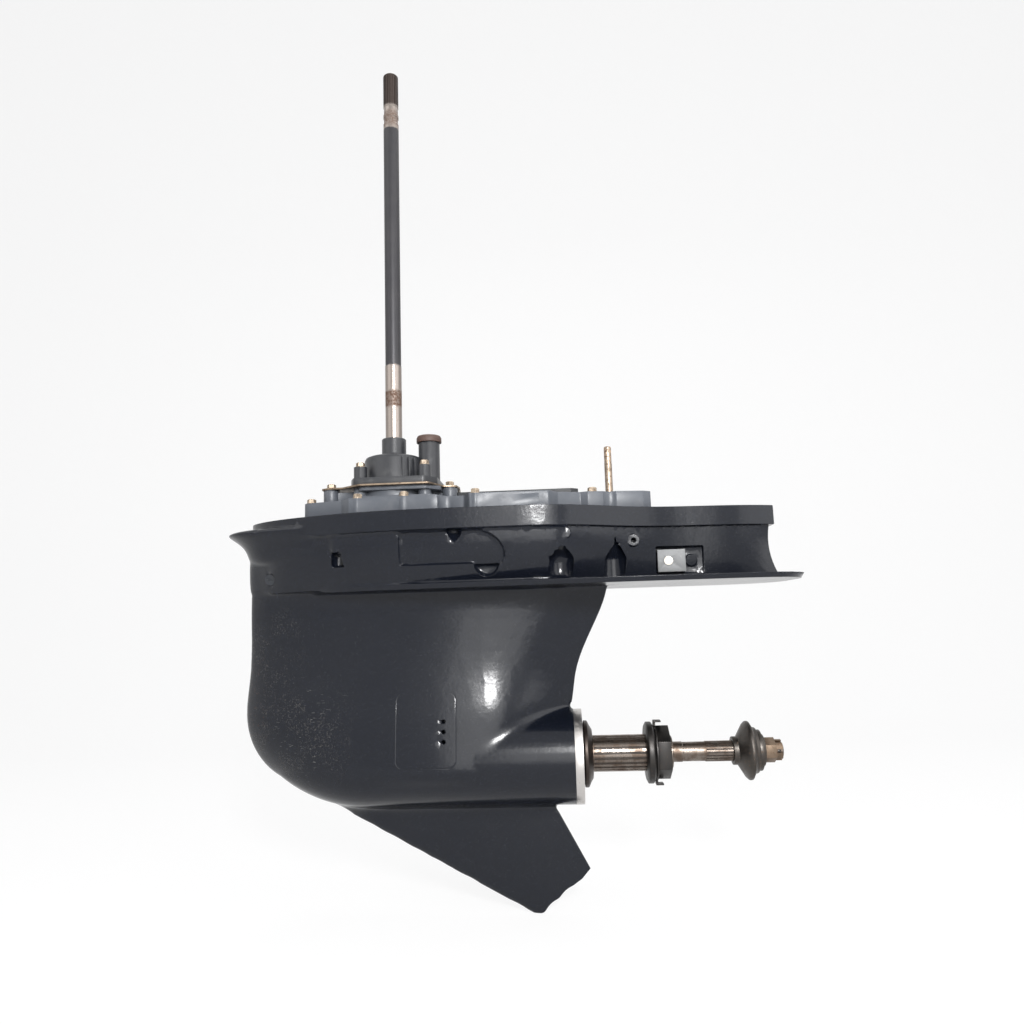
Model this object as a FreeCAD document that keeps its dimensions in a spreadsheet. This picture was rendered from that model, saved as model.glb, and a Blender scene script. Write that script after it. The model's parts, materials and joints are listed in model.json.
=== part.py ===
import FreeCAD, Part
import math
import os
import Sketcher

# Outboard lower unit with two coaxial propeller shafts that turn opposite ways.
# Frame: +X aft, +Y to starboard, +Z up. The origin is on the driveshaft axis, in the plane of the
# gearcase's top flange. Lengths are millimetres. "Station" is a distance along X from the driveshaft
# axis, "rise" is a height above the propeller shaft line, "level" is a height above the flange.

SIZES = {
    # Whole case
    "axis_drop": 300.0,
    "skin_radius": 57.0,
    "skin_drop": 2.5,
    "torpedo_nose": -168.0,
    "torpedo_shoulder": -28.0,
    "torpedo_end": 224.0,
    "gear_bore_radius": 48.0,
    "gear_bore_front": -38.0,
    "nose_bore_radius": 24.0,
    "nose_bore_front": -100.0,
    "strut_width": 76.0,
    "strut_top_rise": 216.0,
    "trailing_edge_width": 4.0,
    "rim_height": 24.0,
    "rim_width": 214.0,
    "rim_front": -189.0,
    "rim_rear": 483.0,
    "body_inset": 5.0,
    "body_width": 168.0,
    "lip_front": -220.5,
    "lip_level": -18.0,
    "plate_rise": 213.0,
    "plate_thickness": 6.0,
    "plate_width": 208.0,
    "plate_rear": 509.0,
    "skeg_thickness": 15.0,
    "skeg_bottom_rise": -186.0,
    "flange_hole_radius": 5.5,
    "flange_hole_station": 80.0,
    "flange_hole_side": 68.0,
    "front_hole_station": -53.0,
    "front_hole_side": 76.0,
    "front_boss_radius": 10.5,
    "pocket_radius": 15.0,
    "middle_pocket_station": 216.0,
    "middle_pocket_side": 84.0,
    "rear_pocket_station": 281.0,
    "rear_pocket_side": 56.0,
    "inlet_station": 68.0,
    "inlet_radius": 2.6,
    "inlet_pitch": 11.7,
    "inlet_top_rise": 48.8,
    "gallery_radius": 7.0,
    # Driveshaft and its bearings
    "driveshaft_radius": 11.0,
    "driveshaft_top": 641.0,
    "coat_start": 211.0,
    "coat_radius": 10.6,
    "top_spline_length": 48.0,
    "top_spline_depth": 1.0,
    "running_clearance": 0.05,
    "bearing_gap": 0.3,
    "upper_bearing_radius": 27.0,
    "upper_bearing_top": -42.0,
    "upper_bearing_height": 20.0,
    "needle_radius": 17.0,
    "needle_bottom_rise": 52.0,
    "needle_height": 20.0,
    # Bevel gears
    "gear_module": 3.25,
    "pinion_teeth": 14.0,
    "gear_teeth": 28.0,
    "face_width": 16.0,
    "gear_bearing_radius": 36.0,
    "gear_hub_radius": 22.0,
    "rear_hub_radius": 26.0,
    "rear_cup_radius": 38.0,
    # Dog clutches
    "jaw_inner": 14.0,
    "jaw_outer": 20.5,
    "jaw_depth": 4.5,
    "jaw_gap": 3.0,
    "clutch_half_width": 5.5,
    "rear_jaw_inner": 17.8,
    "rear_jaw_outer": 25.5,
    "rear_clutch_station": 74.0,
    "rear_clutch_half_width": 9.0,
    "rear_clutch_radius": 29.9,
    "shift_travel": 7.0,
    "cross_pin_radius": 3.0,
    # Propeller shafts
    "inner_shaft_radius": 12.2,
    "inner_shaft_front": -64.0,
    "inner_shaft_rear": 477.5,
    "inner_spline_start": 384.0,
    "inner_spline_end": 421.0,
    "inner_spline_depth": 1.1,
    "plunger_radius": 5.0,
    "outer_bore_radius": 15.5,
    "outer_spline_radius": 21.8,
    "outer_spline_start": 246.0,
    "outer_spline_end": 311.0,
    "outer_spline_depth": 1.5,
    "outer_shaft_end": 343.5,
    "bell_radius": 35.0,
    "bell_front": 60.0,
    "bell_rear": 97.0,
    "thrust_ring_radius": 40.0,
    "spacer_radius": 36.8,
    "outer_nut_flats": 56.0,
    "hub_cone_radius": 35.0,
    "castle_nut_flats": 26.0,
    # Propeller shaft bearing carrier
    "carrier_fit": 0.1,
    "carrier_front": 32.0,
    "carrier_tube_radius": 33.0,
    "carrier_ring_width": 10.0,
    "carrier_window_radius": 44.0,
    # Shift train
    "shift_station": 282.0,
    "shift_radius": 5.2,
    "shift_top": 88.0,
    "rod_station": -84.0,
    "rod_radius": 5.0,
    "crank_offset": 12.2,
    "crank_pin_radius": 3.0,
    "groove_play": 0.4,
    "lever_length": 24.0,
    "lever_thickness": 4.0,
    "link_bow": 43.0,
    # Cover, seal carrier and water pump
    "gasket_level": 1.0,
    "cover_seat_depth": 1.0,
    "cover_height": 21.0,
    "cover_wall": 4.5,
    "cover_width": 148.0,
    "cover_front": -109.0,
    "cover_rear": 335.0,
    "seal_carrier_height": 18.0,
    "wear_plate_thickness": 2.2,
    "pump_base_height": 9.0,
    "cup_radius": 38.5,
    "cup_height": 33.0,
    "neck_radius": 16.0,
    "neck_height": 26.0,
    "pump_liner_radius": 30.0,
    "impeller_radius": 29.0,
    "outlet_station": 47.0,
    "outlet_radius": 14.0,
    "outlet_bore": 10.0,
    "outlet_height": 59.0,
    "bolt_radius": 3.0,
    "bolt_flats": 10.0,
    # Anodes and plugs
    "anode_station": 351.5,
    "anode_length": 34.0,
    "anode_height": 27.5,
    "anode_thickness": 12.0,
    "plug_radius": 7.0,
    # Cast details of the upper body
    "recess_front": 24.0,
    "recess_rear": 151.0,
    "recess_low": 234.0,
    "recess_high": 273.0,
    "recess_depth": 5.0,
    "ring_boss_station": 305.0,
    "ring_boss_rise": 259.0,
    "oval_boss_station": 222.0,
    "oval_boss_rise": 267.0,
}

doc = FreeCAD.newDocument("OutboardLowerUnit")
sheet = doc.addObject("Spreadsheet::Sheet", "Sizes")
for row, (alias, value) in enumerate(SIZES.items(), start=1):
    sheet.set(f"A{row}", alias)
    sheet.set(f"B{row}", str(value))
    sheet.setAlias(f"B{row}", alias)
doc.recompute()


class Length:
    """A size with its number and the sheet expression that gives it."""

    def __init__(self, value, text):
        self.value = float(value)
        self.text = text

    def __float__(self):
        return self.value

    def __add__(self, other):
        other = length(other)
        return Length(self.value + other.value, f"({self.text} + {other.text})")

    def __sub__(self, other):
        other = length(other)
        return Length(self.value - other.value, f"({self.text} - {other.text})")

    def __mul__(self, other):
        other = length(other)
        return Length(self.value * other.value, f"({self.text} * {other.text})")

    def __truediv__(self, other):
        other = length(other)
        return Length(self.value / other.value, f"({self.text} / {other.text})")

    def __neg__(self):
        return Length(-self.value, f"(0 - {self.text})")

    def __radd__(self, other):
        return length(other) + self

    def __rsub__(self, other):
        return length(other) - self

    def __rmul__(self, other):
        return length(other) * self


def length(value):
    return value if isinstance(value, Length) else Length(value, f"({float(value):.9f})")


class Sheet:
    """Gives each cell of the sheet by its alias."""

    def __getattr__(self, alias):
        return Length(sheet.get(alias), f"Sizes.{alias}")


size = Sheet()
nodes = {}


def keep(name, item):
    item.Label = name
    nodes[name] = item
    return item


def at_shaft_line(item):
    item.setExpression("Placement.Base.z", (-size.axis_drop).text)
    return item


def origin_feature(body, role):
    return next(part for part in body.Origin.OriginFeatures if part.Role == role)


def polygon_sketch(body, name, plane, points, offset=0.0):
    """A closed outline of straight lines whose corners are bound to the sheet."""
    sketch = body.newObject("Sketcher::SketchObject", name)
    sketch.AttachmentSupport = [(origin_feature(body, plane), "")]
    sketch.MapMode = "FlatFace"
    sketch.setExpression("AttachmentOffset.Base.z", length(offset).text)
    corners = [(length(a), length(b)) for a, b in points]
    count = len(corners)
    lines = []
    for index in range(count):
        start, end = corners[index], corners[(index + 1) % count]
        lines.append(Part.LineSegment(
            FreeCAD.Vector(start[0].value, start[1].value, 0),
            FreeCAD.Vector(end[0].value, end[1].value, 0)))
    sketch.addGeometry(lines, False)
    links = [Sketcher.Constraint("Coincident", i, 2, (i + 1) % count, 1) for i in range(count)]
    bound = []
    for index, corner in enumerate(corners):
        for kind, axis, part in (("DistanceX", -2, corner[0]), ("DistanceY", -1, corner[1])):
            if abs(part.value) < 1e-9:
                links.append(Sketcher.Constraint("PointOnObject", index, 1, axis))
            else:
                bound.append((len(links), part.text))
                links.append(Sketcher.Constraint(kind, -1, 1, index, 1, part.value))
    sketch.addConstraint(links)
    for number, text in bound:
        sketch.setExpression(f"Constraints[{number}]", text)
    return sketch


def turned(name, along, profile):
    """A body turned about X or Z from points (distance along the axis, radius)."""
    body = doc.addObject("PartDesign::Body", name)
    if along == "X":
        points, axis = profile, "H_Axis"
    else:
        points, axis = [(radius, distance) for distance, radius in profile], "V_Axis"
    sketch = polygon_sketch(body, f"{name}_profile", "XZ_Plane", points)
    turn = body.newObject("PartDesign::Revolution", f"{name}_turn")
    turn.Profile = sketch
    turn.ReferenceAxis = (sketch, [axis])
    turn.Angle = 360
    sketch.Visibility = False
    return body


def ring(name, along, start, end, inner, outer):
    return turned(name, along, [(start, inner), (start, outer), (end, outer), (end, inner)])


def slotted(body, name, along, face, depth, inner, outer, half_angle, count, first=0.0):
    """Cuts equal wedge slots, open at the face, from the inner to the outer radius."""
    plane, axis = ("YZ_Plane", "X_Axis") if along == "X" else ("XY_Plane", "Z_Axis")
    low, high = math.radians(first - half_angle), math.radians(first + half_angle)
    points = [
        (length(inner) * math.sin(low), length(inner) * math.cos(low)),
        (length(outer) * math.sin(low), length(outer) * math.cos(low)),
        (length(outer) * math.sin(high), length(outer) * math.cos(high)),
        (length(inner) * math.sin(high), length(inner) * math.cos(high)),
    ]
    sketch = polygon_sketch(body, f"{name}_outline", plane, points, face)
    slot = body.newObject("PartDesign::Pocket", name)
    slot.Profile = sketch
    slot.Reversed = float(depth) < 0
    slot.setExpression("Length", (length(depth) if float(depth) > 0 else -length(depth)).text)
    sketch.Visibility = False
    pattern = body.newObject("PartDesign::PolarPattern", f"{name}_pattern")
    pattern.Originals = [slot]
    pattern.Axis = (origin_feature(body, axis), [""])
    pattern.Angle = 360
    pattern.Occurrences = count
    body.Tip = pattern
    return body


def cylinder(name, radius, start, end, along="Z", centre=(0.0, 0.0)):
    """A cylinder from start to end along an axis; centre gives the other two coordinates."""
    item = doc.addObject("Part::Cylinder", name)
    item.setExpression("Radius", length(radius).text)
    item.setExpression("Height", (length(end) - length(start)).text)
    turns = {
        "X": FreeCAD.Rotation(FreeCAD.Vector(0, 1, 0), 90),
        "Y": FreeCAD.Rotation(FreeCAD.Vector(1, 0, 0), -90),
        "Z": FreeCAD.Rotation(),
    }
    item.Placement = FreeCAD.Placement(FreeCAD.Vector(0, 0, 0), turns[along])
    others = {"X": ("y", "z"), "Y": ("x", "z"), "Z": ("x", "y")}[along]
    item.setExpression(f"Placement.Base.{along.lower()}", length(start).text)
    for letter, value in zip(others, centre):
        item.setExpression(f"Placement.Base.{letter}", length(value).text)
    return item


def box(name, low, high):
    item = doc.addObject("Part::Box", name)
    for letter, side, start, end in zip("xyz", ("Length", "Width", "Height"), low, high):
        item.setExpression(side, (length(end) - length(start)).text)
        item.setExpression(f"Placement.Base.{letter}", length(start).text)
    return item


def fused(name, parts):
    item = doc.addObject("Part::MultiFuse", name)
    item.Shapes = parts
    item.Refine = True
    return item


def cut(name, base, tools):
    item = doc.addObject("Part::Cut", name)
    item.Base = base
    item.Tool = tools[0] if len(tools) == 1 else fused(f"{name}_tools", tools)
    item.Refine = True
    return item


def shaped(name, shape, shift=None):
    item = doc.addObject("Part::Feature", name)
    item.Shape = shape
    if shift is not None:
        item.Placement = FreeCAD.Placement(shift, FreeCAD.Rotation())
    return item


def vector(x, y, z):
    return FreeCAD.Vector(float(x), float(y), float(z))


def polygon_face(points):
    return Part.Face(Part.makePolygon([*points, points[0]]))


shaft_level = -size.axis_drop


# Gearcase housing: strut, torpedo, skeg, plate, upper body, rim and splash lip

def smooth_outline(points, level):
    """A closed outline, equal on both sides, through (x, half width) from the front tip aft."""
    aft = [FreeCAD.Vector(x, -half, level) for x, half in reversed(points)]
    fore = [FreeCAD.Vector(x, half, level) for x, half in points[1:]]
    curve = Part.BSplineCurve()
    curve.interpolate([*aft, *fore])
    stern = Part.LineSegment(fore[-1], aft[0])
    return Part.Wire([curve.toShape(), stern.toShape()])


def foil_points(front, rear, half_width, nose_power, full_from, full_to):
    """Half widths of a foil: a blunt nose, a flat middle from one station to another, a thin tail."""
    edge = float(size.trailing_edge_width) / 2
    points = []
    for part in (0.0, 0.08, 0.25, 0.55, 1.0):
        points.append((front + part * (full_from - front),
                       half_width * math.sin(math.pi / 2 * part) ** nose_power))
    points.append((full_to, half_width))
    for part in (0.3, 0.6, 0.85, 1.0):
        half = edge + (half_width - edge) * max(math.cos(math.pi / 2 * part), 0.0) ** 0.9
        points.append((full_to + part * (rear - full_to), half))
    return points


def strut_form():
    """Foil sections from inside the torpedo up to the plate, wider at both ends than between them."""
    line = float(shaft_level)
    skin = float(size.skin_radius)
    nose, shoulder = float(size.torpedo_nose), float(size.torpedo_shoulder)
    width = float(size.strut_width) / 2
    sections = (
        (-22.0, nose + 24.5, 200.0, skin - 4.2, 0.58, shoulder, 110.0),
        (-2.0, nose - 3, 204.0, skin - 0.4, 0.68, shoulder - 2, 108.0),
        (25.0, -187.6, 208.0, skin - 2.5, 0.62, -40.0, 100.0),
        (56.0, -194.0, 220.5, skin - 6, 0.60, -50.0, 98.0),
        (100.0, -191.0, 229.0, width + 5, 0.58, -50.0, 90.0),
        (158.0, -189.8, 253.5, width, 0.60, -40.0, 90.0),
        (198.0, -190.4, 271.0, width + 2.5, 0.62, -50.0, 90.0),
        (float(size.strut_top_rise), -191.2, 281.5, width + 12, 0.72, -70.0, 92.0),
    )
    wires = [smooth_outline(foil_points(*spec), line + rise) for rise, *spec in sections]
    return Part.makeLoft(wires, True, False)


def torpedo_form():
    radius = float(size.skin_radius)
    nose, shoulder = float(size.torpedo_nose), float(size.torpedo_shoulder)
    end = float(size.torpedo_end)
    span = shoulder - nose
    arc_radius = (span ** 2 + radius ** 2) / (2 * radius)
    turn = math.asin(span / arc_radius) / 2
    middle = vector(shoulder - arc_radius * math.sin(turn), 0, radius - arc_radius * (1 - math.cos(turn)))
    tip, brow = vector(nose, 0, 0), vector(shoulder, 0, radius)
    edges = [
        Part.Arc(tip, middle, brow).toShape(),
        Part.LineSegment(brow, vector(end, 0, radius)).toShape(),
        Part.LineSegment(vector(end, 0, radius), vector(end, 0, 0)).toShape(),
        Part.LineSegment(vector(end, 0, 0), tip).toShape(),
    ]
    solid = Part.Face(Part.Wire(edges)).revolve(vector(0, 0, 0), vector(1, 0, 0), 360)
    solid.translate(vector(0, 0, float(shaft_level) - float(size.skin_drop)))
    return solid


def skeg_form():
    line = float(shaft_level)
    half = float(size.skeg_thickness) / 2
    top_rise, tip_rise = -43.0, -205.0

    def leading(rise):
        return -60.4 - (rise + 65.3) * 1.879

    def trailing(rise):
        return 201.6 - (rise + 69.3) * 0.542

    def section(rise, thick):
        front, rear = leading(rise), trailing(rise)
        points = [(front + part * (rear - front), thick * wide) for part, wide in
                  ((0.0, 0.0), (0.03, 0.45), (0.12, 0.8), (0.4, 1.0), (0.75, 0.75), (1.0, 0.3))]
        return smooth_outline(points, line + rise)

    root = -float(size.skin_radius) - float(size.skin_drop)
    blade = Part.makeLoft([
        section(top_rise, half + 12.5), section(root + 1.5, half + 5.2), section(root - 7, half + 0.6),
        section(root - 16, half - 0.4), section(-130.0, half * 0.74), section(tip_rise, half * 0.45),
    ], True, True)
    bottom = float(size.skeg_bottom_rise)
    break_line = [
        (100, bottom), (180, bottom), (185, bottom + 8), (191.6, -172), (199, -168), (206, -160),
        (216.7, -153.8), (227, -147), (237.5, -135.5), (300, -120), (300, bottom - 60), (100, bottom - 60),
    ]
    broken = polygon_face([vector(x, -40, line + rise) for x, rise in break_line]).extrude(vector(0, 80, 0))
    return blade.cut(broken)


def rim_points(inset=0.0, width=None, tip=None):
    """Half widths of the boat-shaped top, from the front tip to the narrow tail."""
    half = float(width if width is not None else size.rim_width) / 2
    front, rear = float(size.rim_front), float(size.rim_rear)
    shape = (
        (front + inset if tip is None else tip, 0.0), (front + 16, 0.27), (front + 48, 0.50),
        (front + 95, 0.71), (front + 170, 0.93),
        (60.0, 1.0), (150.0, 1.0), (215.0, 0.945), (262.0, 0.75), (305.0, 0.54), (345.0, 0.43),
        (400.0, 0.37), (450.0, 0.30), (rear - inset, 0.20),
    )
    return [(x, max(part * half - inset, 0.0) if part else 0.0) for x, part in shape]


WALL_TIPS = (-190.5, -193.0, -191.2)


def wall_form(inset):
    """The walls under the rim, leaning in towards the plate."""
    rim = float(size.rim_height)
    plate_level = float(shaft_level) + float(size.plate_rise)
    top_tip, middle_tip, low_tip = (tip + inset - float(size.body_inset) for tip in WALL_TIPS)
    lower = rim_points(inset, size.body_width, low_tip)
    lower[-1] = (lower[-1][0] + 11, lower[-1][1])
    return Part.makeLoft([
        smooth_outline(rim_points(inset, tip=top_tip), -rim + 2),
        smooth_outline(rim_points(inset + 2, tip=middle_tip), -rim - 22),
        smooth_outline(lower, plate_level - 3),
    ], True, False)


def upper_form():
    rim = float(size.rim_height)
    band = Part.Face(smooth_outline(rim_points(), -rim)).extrude(vector(0, 0, rim))
    lip_reach = float(size.rim_front) - float(size.lip_front)
    lip_sections = []
    for level, reach in ((-52.0, 0.02), (-44.0, 0.22), (-28.0, 0.54), (float(size.lip_level), 1.0),
                         (-7.0, -0.02)):
        points = []
        for x, half in rim_points(float(size.body_inset) + 2):
            fade = max(0.0, 1 - (x - float(size.rim_front)) / 190.0)
            points.append((x - 6 * fade ** 3 - reach * lip_reach * fade ** 3,
                           half + (12 * (reach - 0.2) * fade if half else 0.0)))
        lip_sections.append(smooth_outline([p for p in points if p[0] < 30], level))
    lip = Part.makeLoft(lip_sections, True, False)
    return band.fuse([wall_form(float(size.body_inset)), lip])


def wall_half(station):
    """Half width of the upper walls at a station, just under the rim."""
    points = rim_points(float(size.body_inset))
    for (x0, half0), (x1, half1) in zip(points, points[1:]):
        if x0 <= station <= x1:
            return half0 + (half1 - half0) * (station - x0) / (x1 - x0)
    raise ValueError(f"no wall at station {station}")


def plate_form():
    half = float(size.plate_width) / 2
    top = float(shaft_level) + float(size.plate_rise)
    rear = float(size.plate_rear)
    shape = ((-112.0, 0.0), (-109.0, 0.25), (-96.0, 0.44), (-58.0, 0.655), (20.0, 0.80), (110.0, 0.90),
             (200.0, 0.97),
             (300.0, 1.0), (400.0, 0.985), (455.0, 0.94), (487.0, 0.80), (rear - 5, 0.55), (rear, 0.25))
    upper = [(x, part * half) for x, part in shape]
    lower = [(x - (3 if x > 400 else 0), max(part * half - 3, 0.0) if part else 0.0) for x, part in shape]
    return Part.makeLoft([
        smooth_outline(lower, top - float(size.plate_thickness)), smooth_outline(upper, top),
    ], True, True)


def side_boss(name, station, rise, radius, proud, sign):
    """A round boss that stands a little proud of the upper wall."""
    near, far = sorted((sign * 30.0, sign * (wall_half(float(station)) + proud)))
    return cylinder(name, radius, near, far, "Y", (station, shaft_level + rise))


def side_recess():
    """The long shallow panel in both walls: upright in front, arched at its rear end."""
    front, rear = float(size.recess_front), float(size.recess_rear)
    low, high = (float(shaft_level) + float(rise) for rise in (size.recess_low, size.recess_high))
    arch = Part.Arc(vector(rear - 46, 0, high), vector(rear - 11, 0, high - 8), vector(rear, 0, high - 23))
    edges = [
        Part.LineSegment(vector(front, 0, low), vector(front, 0, high)).toShape(),
        Part.LineSegment(vector(front, 0, high), vector(rear - 46, 0, high)).toShape(),
        arch.toShape(),
        Part.LineSegment(vector(rear, 0, high - 23), vector(rear, 0, low + 5)).toShape(),
        Part.LineSegment(vector(rear, 0, low + 5), vector(rear - 6, 0, low)).toShape(),
        Part.LineSegment(vector(rear - 6, 0, low), vector(front, 0, low)).toShape(),
    ]
    panel = Part.Face(Part.Wire(edges)).extrude(vector(0, 260, 0))
    panel.translate(vector(0, -130, 0))
    return panel.cut(wall_form(float(size.body_inset) + float(size.recess_depth)))


def half_round_pocket(sign):
    """A pocket shaped like a half moon, hanging from the lower edge of the side recess."""
    low = float(shaft_level) + float(size.recess_low)
    moon = Part.makeCylinder(15.0, 30.0, vector(128, sign * 81, low), vector(0, sign, 0))
    return moon.common(Part.makeBox(60, 260, 30, vector(98, -130, low - 30)))


def arched_pocket(station, across, sign):
    """Room for a flange bolt: an upright cylinder with a pointed top."""
    plate_top = float(shaft_level) + float(size.plate_rise)
    radius, shoulder = float(size.pocket_radius), -62.0
    foot = vector(station, sign * float(across), plate_top + 2)
    barrel = Part.makeCylinder(radius, shoulder - plate_top - 2, foot)
    point = Part.makeCone(radius, 3.0, 22.0, vector(station, sign * float(across), shoulder))
    return barrel.fuse(point)


ANODE_FLOOR = 28.0
ANODE_RAISE = 7.0
casting = fused("casting", [
    shaped("strut", strut_form()), shaped("torpedo", torpedo_form()), shaped("skeg", skeg_form()),
    shaped("upper_body", upper_form()), shaped("ventilation_plate", plate_form()),
    *[cylinder(f"front_boss_{side}", size.front_boss_radius, -size.rim_height - 22,
               -size.rim_height + 2, "Z", (size.front_hole_station, sign * size.front_hole_side))
      for side, sign in (("port", -1), ("starboard", 1))],
    *[side_boss(f"ring_boss_{sign}", size.ring_boss_station, size.ring_boss_rise, 7.0, 2.0, sign)
      for sign in (-1, 1)],
    *[side_boss(f"oval_boss_{sign}", size.oval_boss_station, size.oval_boss_rise, 6.2, 0.8, sign)
      for sign in (-1, 1)],
])
casting.Refine = False

case_tools = [
    cylinder("gear_bore", size.gear_bore_radius, size.gear_bore_front, size.torpedo_end + 5, "X",
             (0, shaft_level)),
    cylinder("cup_bore", size.gear_bearing_radius, -60.0, size.gear_bore_front + 5, "X", (0, shaft_level)),
    cylinder("nose_bore", size.nose_bore_radius, size.nose_bore_front, -55.0, "X", (0, shaft_level)),
    cylinder("pinion_bore", 27.0, shaft_level, shaft_level + size.needle_bottom_rise - 0.5),
    cylinder("needle_bore", size.needle_radius, shaft_level + size.needle_bottom_rise - 5,
             shaft_level + size.needle_bottom_rise + size.needle_height),
    cylinder("driveshaft_bore", size.driveshaft_radius + 3, shaft_level + 60, 5.0),
    cylinder("bearing_bore", size.upper_bearing_radius, size.upper_bearing_top - size.upper_bearing_height,
             5.0),
    cylinder("rod_bore", size.rod_radius + 1, shaft_level + 5, 5.0, "Z",
             (size.rod_station, size.crank_offset)),
    cylinder("rod_bush_seat", size.rod_radius + 4, -14.0, 5.0, "Z", (size.rod_station, size.crank_offset)),
    cylinder("shift_pilot_bore", size.shift_radius + 3, -12.0, 5.0, "Z", (size.shift_station, 0)),
    cylinder("water_gallery", size.gallery_radius, shaft_level + 58, 5.0, "Z", (size.inlet_station, 0)),
    cylinder("cross_gallery", 4.0, -46.0, 46.0, "Y", (size.inlet_station, shaft_level + 59)),
    shaped("side_recess", side_recess()),
]
for side, sign in (("port", -1), ("starboard", 1)):
    case_tools.append(cylinder(f"inlet_riser_{side}", 2.2, shaft_level + 23.5, shaft_level + 61, "Z",
                               (size.inlet_station, sign * 45.8)))
    for index in range(3):
        rise = shaft_level + size.inlet_top_rise - size.inlet_pitch * index
        start, end = (-75.0, -45.0) if sign < 0 else (45.0, 75.0)
        case_tools.append(cylinder(f"inlet_{side}_{index + 1}", size.inlet_radius, start, end, "Y",
                                   (size.inlet_station, rise)))
    for place, front, across, depth in (
            ("front", size.front_hole_station, size.front_hole_side, -size.rim_height - 34),
            ("fore", size.flange_hole_station, size.flange_hole_side, -size.rim_height - 20),
            ("middle", size.middle_pocket_station, size.middle_pocket_side, -size.rim_height - 20),
            ("rear", size.rear_pocket_station, size.rear_pocket_side, -size.rim_height - 20)):
        case_tools.append(cylinder(f"flange_hole_{place}_{side}", size.flange_hole_radius, depth, 5.0, "Z",
                                   (front, sign * across)))
    case_tools.append(cylinder(f"front_bolt_pocket_{side}", size.front_boss_radius - 1.5,
                               -size.rim_height - 40, -size.rim_height - 22, "Z",
                               (size.front_hole_station, sign * size.front_hole_side)))
    screw_place = (size.anode_station - 4,
                   shaft_level + size.plate_rise + ANODE_RAISE + size.anode_height / 2)
    screw_low, screw_high = sorted((sign * (ANODE_FLOOR - 9.0), sign * (ANODE_FLOOR + 1.0)))
    case_tools.append(cylinder(f"anode_screw_hole_{side}", 3.0, screw_low, screw_high, "Y", screw_place))
    for place, station, across in (("middle", size.middle_pocket_station, size.middle_pocket_side),
                                   ("rear", size.rear_pocket_station, size.rear_pocket_side)):
        case_tools.append(shaped(f"bolt_pocket_{place}_{side}", arched_pocket(station, across, sign)))
    case_tools.append(shaped(f"half_round_pocket_{side}", half_round_pocket(sign)))
    notch_side = sign * (wall_half(91.0) - 4)
    case_tools.append(shaped(f"notch_{side}", Part.makeCone(0.5, 11.0, 18.0, vector(91, notch_side, -43))))
    for place, station, rise, bore, depth in (
            ("ring", size.ring_boss_station, size.ring_boss_rise, 3.2, 14.0),
            ("oval", size.oval_boss_station, size.oval_boss_rise, 2.2, 5.0)):
        wall = wall_half(float(station))
        near, far = sorted((sign * (wall - depth), sign * (wall + 10)))
        case_tools.append(cylinder(f"{place}_boss_hole_{side}", bore, near, far, "Y",
                                   (station, shaft_level + rise)))
    low = ANODE_FLOOR if sign > 0 else -80.0
    high = 80.0 if sign > 0 else -ANODE_FLOOR
    recess_rise = shaft_level + size.plate_rise + ANODE_RAISE - 2
    recess_rear = size.anode_station + size.anode_length / 2 + 23.5
    recess = box(f"anode_recess_box_{side}",
                 (size.anode_station - size.anode_length / 2 - 2, low, recess_rise),
                 (recess_rear, high, recess_rise + size.anode_height + 6))
    stud_low, stud_high = sorted((sign * (ANODE_FLOOR - 2), sign * (ANODE_FLOOR + 8)))
    stud = cylinder(f"anode_stud_{side}", 6.8, stud_low, stud_high, "Y",
                    (recess_rear - 15.5, screw_place[1]))
    case_tools.append(cut(f"anode_recess_{side}", recess, [stud]))
doc.recompute()


def skin_side(station, level, sign):
    """Where the outer skin lies on one side, at a station and a level."""
    probe = Part.LineSegment(vector(station, 0, level), vector(station, sign * 200, level)).toShape()
    inside = probe.common(casting.Shape).BoundBox
    return abs(inside.YMax if sign > 0 else inside.YMin)


SCOOP_LENGTHS = (40.0, 17.0, 13.0)
for side, sign in (("port", -1), ("starboard", 1)):
    for index, scoop_length in enumerate(SCOOP_LENGTHS):
        level = float(shaft_level + size.inlet_top_rise - size.inlet_pitch * index)
        station = float(size.inlet_station)
        middle = vector(station, sign * (skin_side(station, level, sign) + 0.6), level)
        scoop = Part.makeCone(float(size.inlet_radius) * 0.8, 0.5, scoop_length, middle, vector(-1, 0, 0))
        case_tools.append(shaped(f"inlet_scoop_{side}_{index + 1}", scoop))

PLUG_HEAD, PLUG_SHANK, PLUG_SINK = 2.2, 13.0, 2.5
for name, station, rise, sign in (("oil_level_plug", -154.0, 227.0, -1), ("drain_plug", -62.0, -24.0, 1)):
    level = shaft_level + rise
    seat = skin_side(station, level, sign) - PLUG_SINK
    spans = {"head": (seat, seat + PLUG_HEAD), "shank": (seat - PLUG_SHANK, seat),
             "spotface": (seat, seat + 20.0), "hole": (seat - PLUG_SHANK - 1, seat + 1)}
    pieces = {}
    for part, radius in (("head", size.plug_radius), ("shank", size.plug_radius - 2),
                         ("spotface", size.plug_radius + 0.6), ("hole", size.plug_radius - 2)):
        near, far = sorted((spans[part][0] * sign, spans[part][1] * sign))
        pieces[part] = cylinder(f"{name}_{part}", radius, near, far, "Y", (station, level))
    case_tools += [pieces["spotface"], pieces["hole"]]
    driver_slot = box(f"{name}_driver_slot",
                      (station - 4.5, min((seat + 0.8) * sign, (seat + 5) * sign), level - 0.8),
                      (station + 4.5, max((seat + 0.8) * sign, (seat + 5) * sign), level + 0.8))
    keep(name, cut(f"{name}_cut", fused(f"{name}_body", [pieces["head"], pieces["shank"]]), [driver_slot]))
bored_case = cut("bored_case", casting, case_tools)


# Bevel gears: pinion on the driveshaft, front and rear gears on the propeller shaft line

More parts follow.
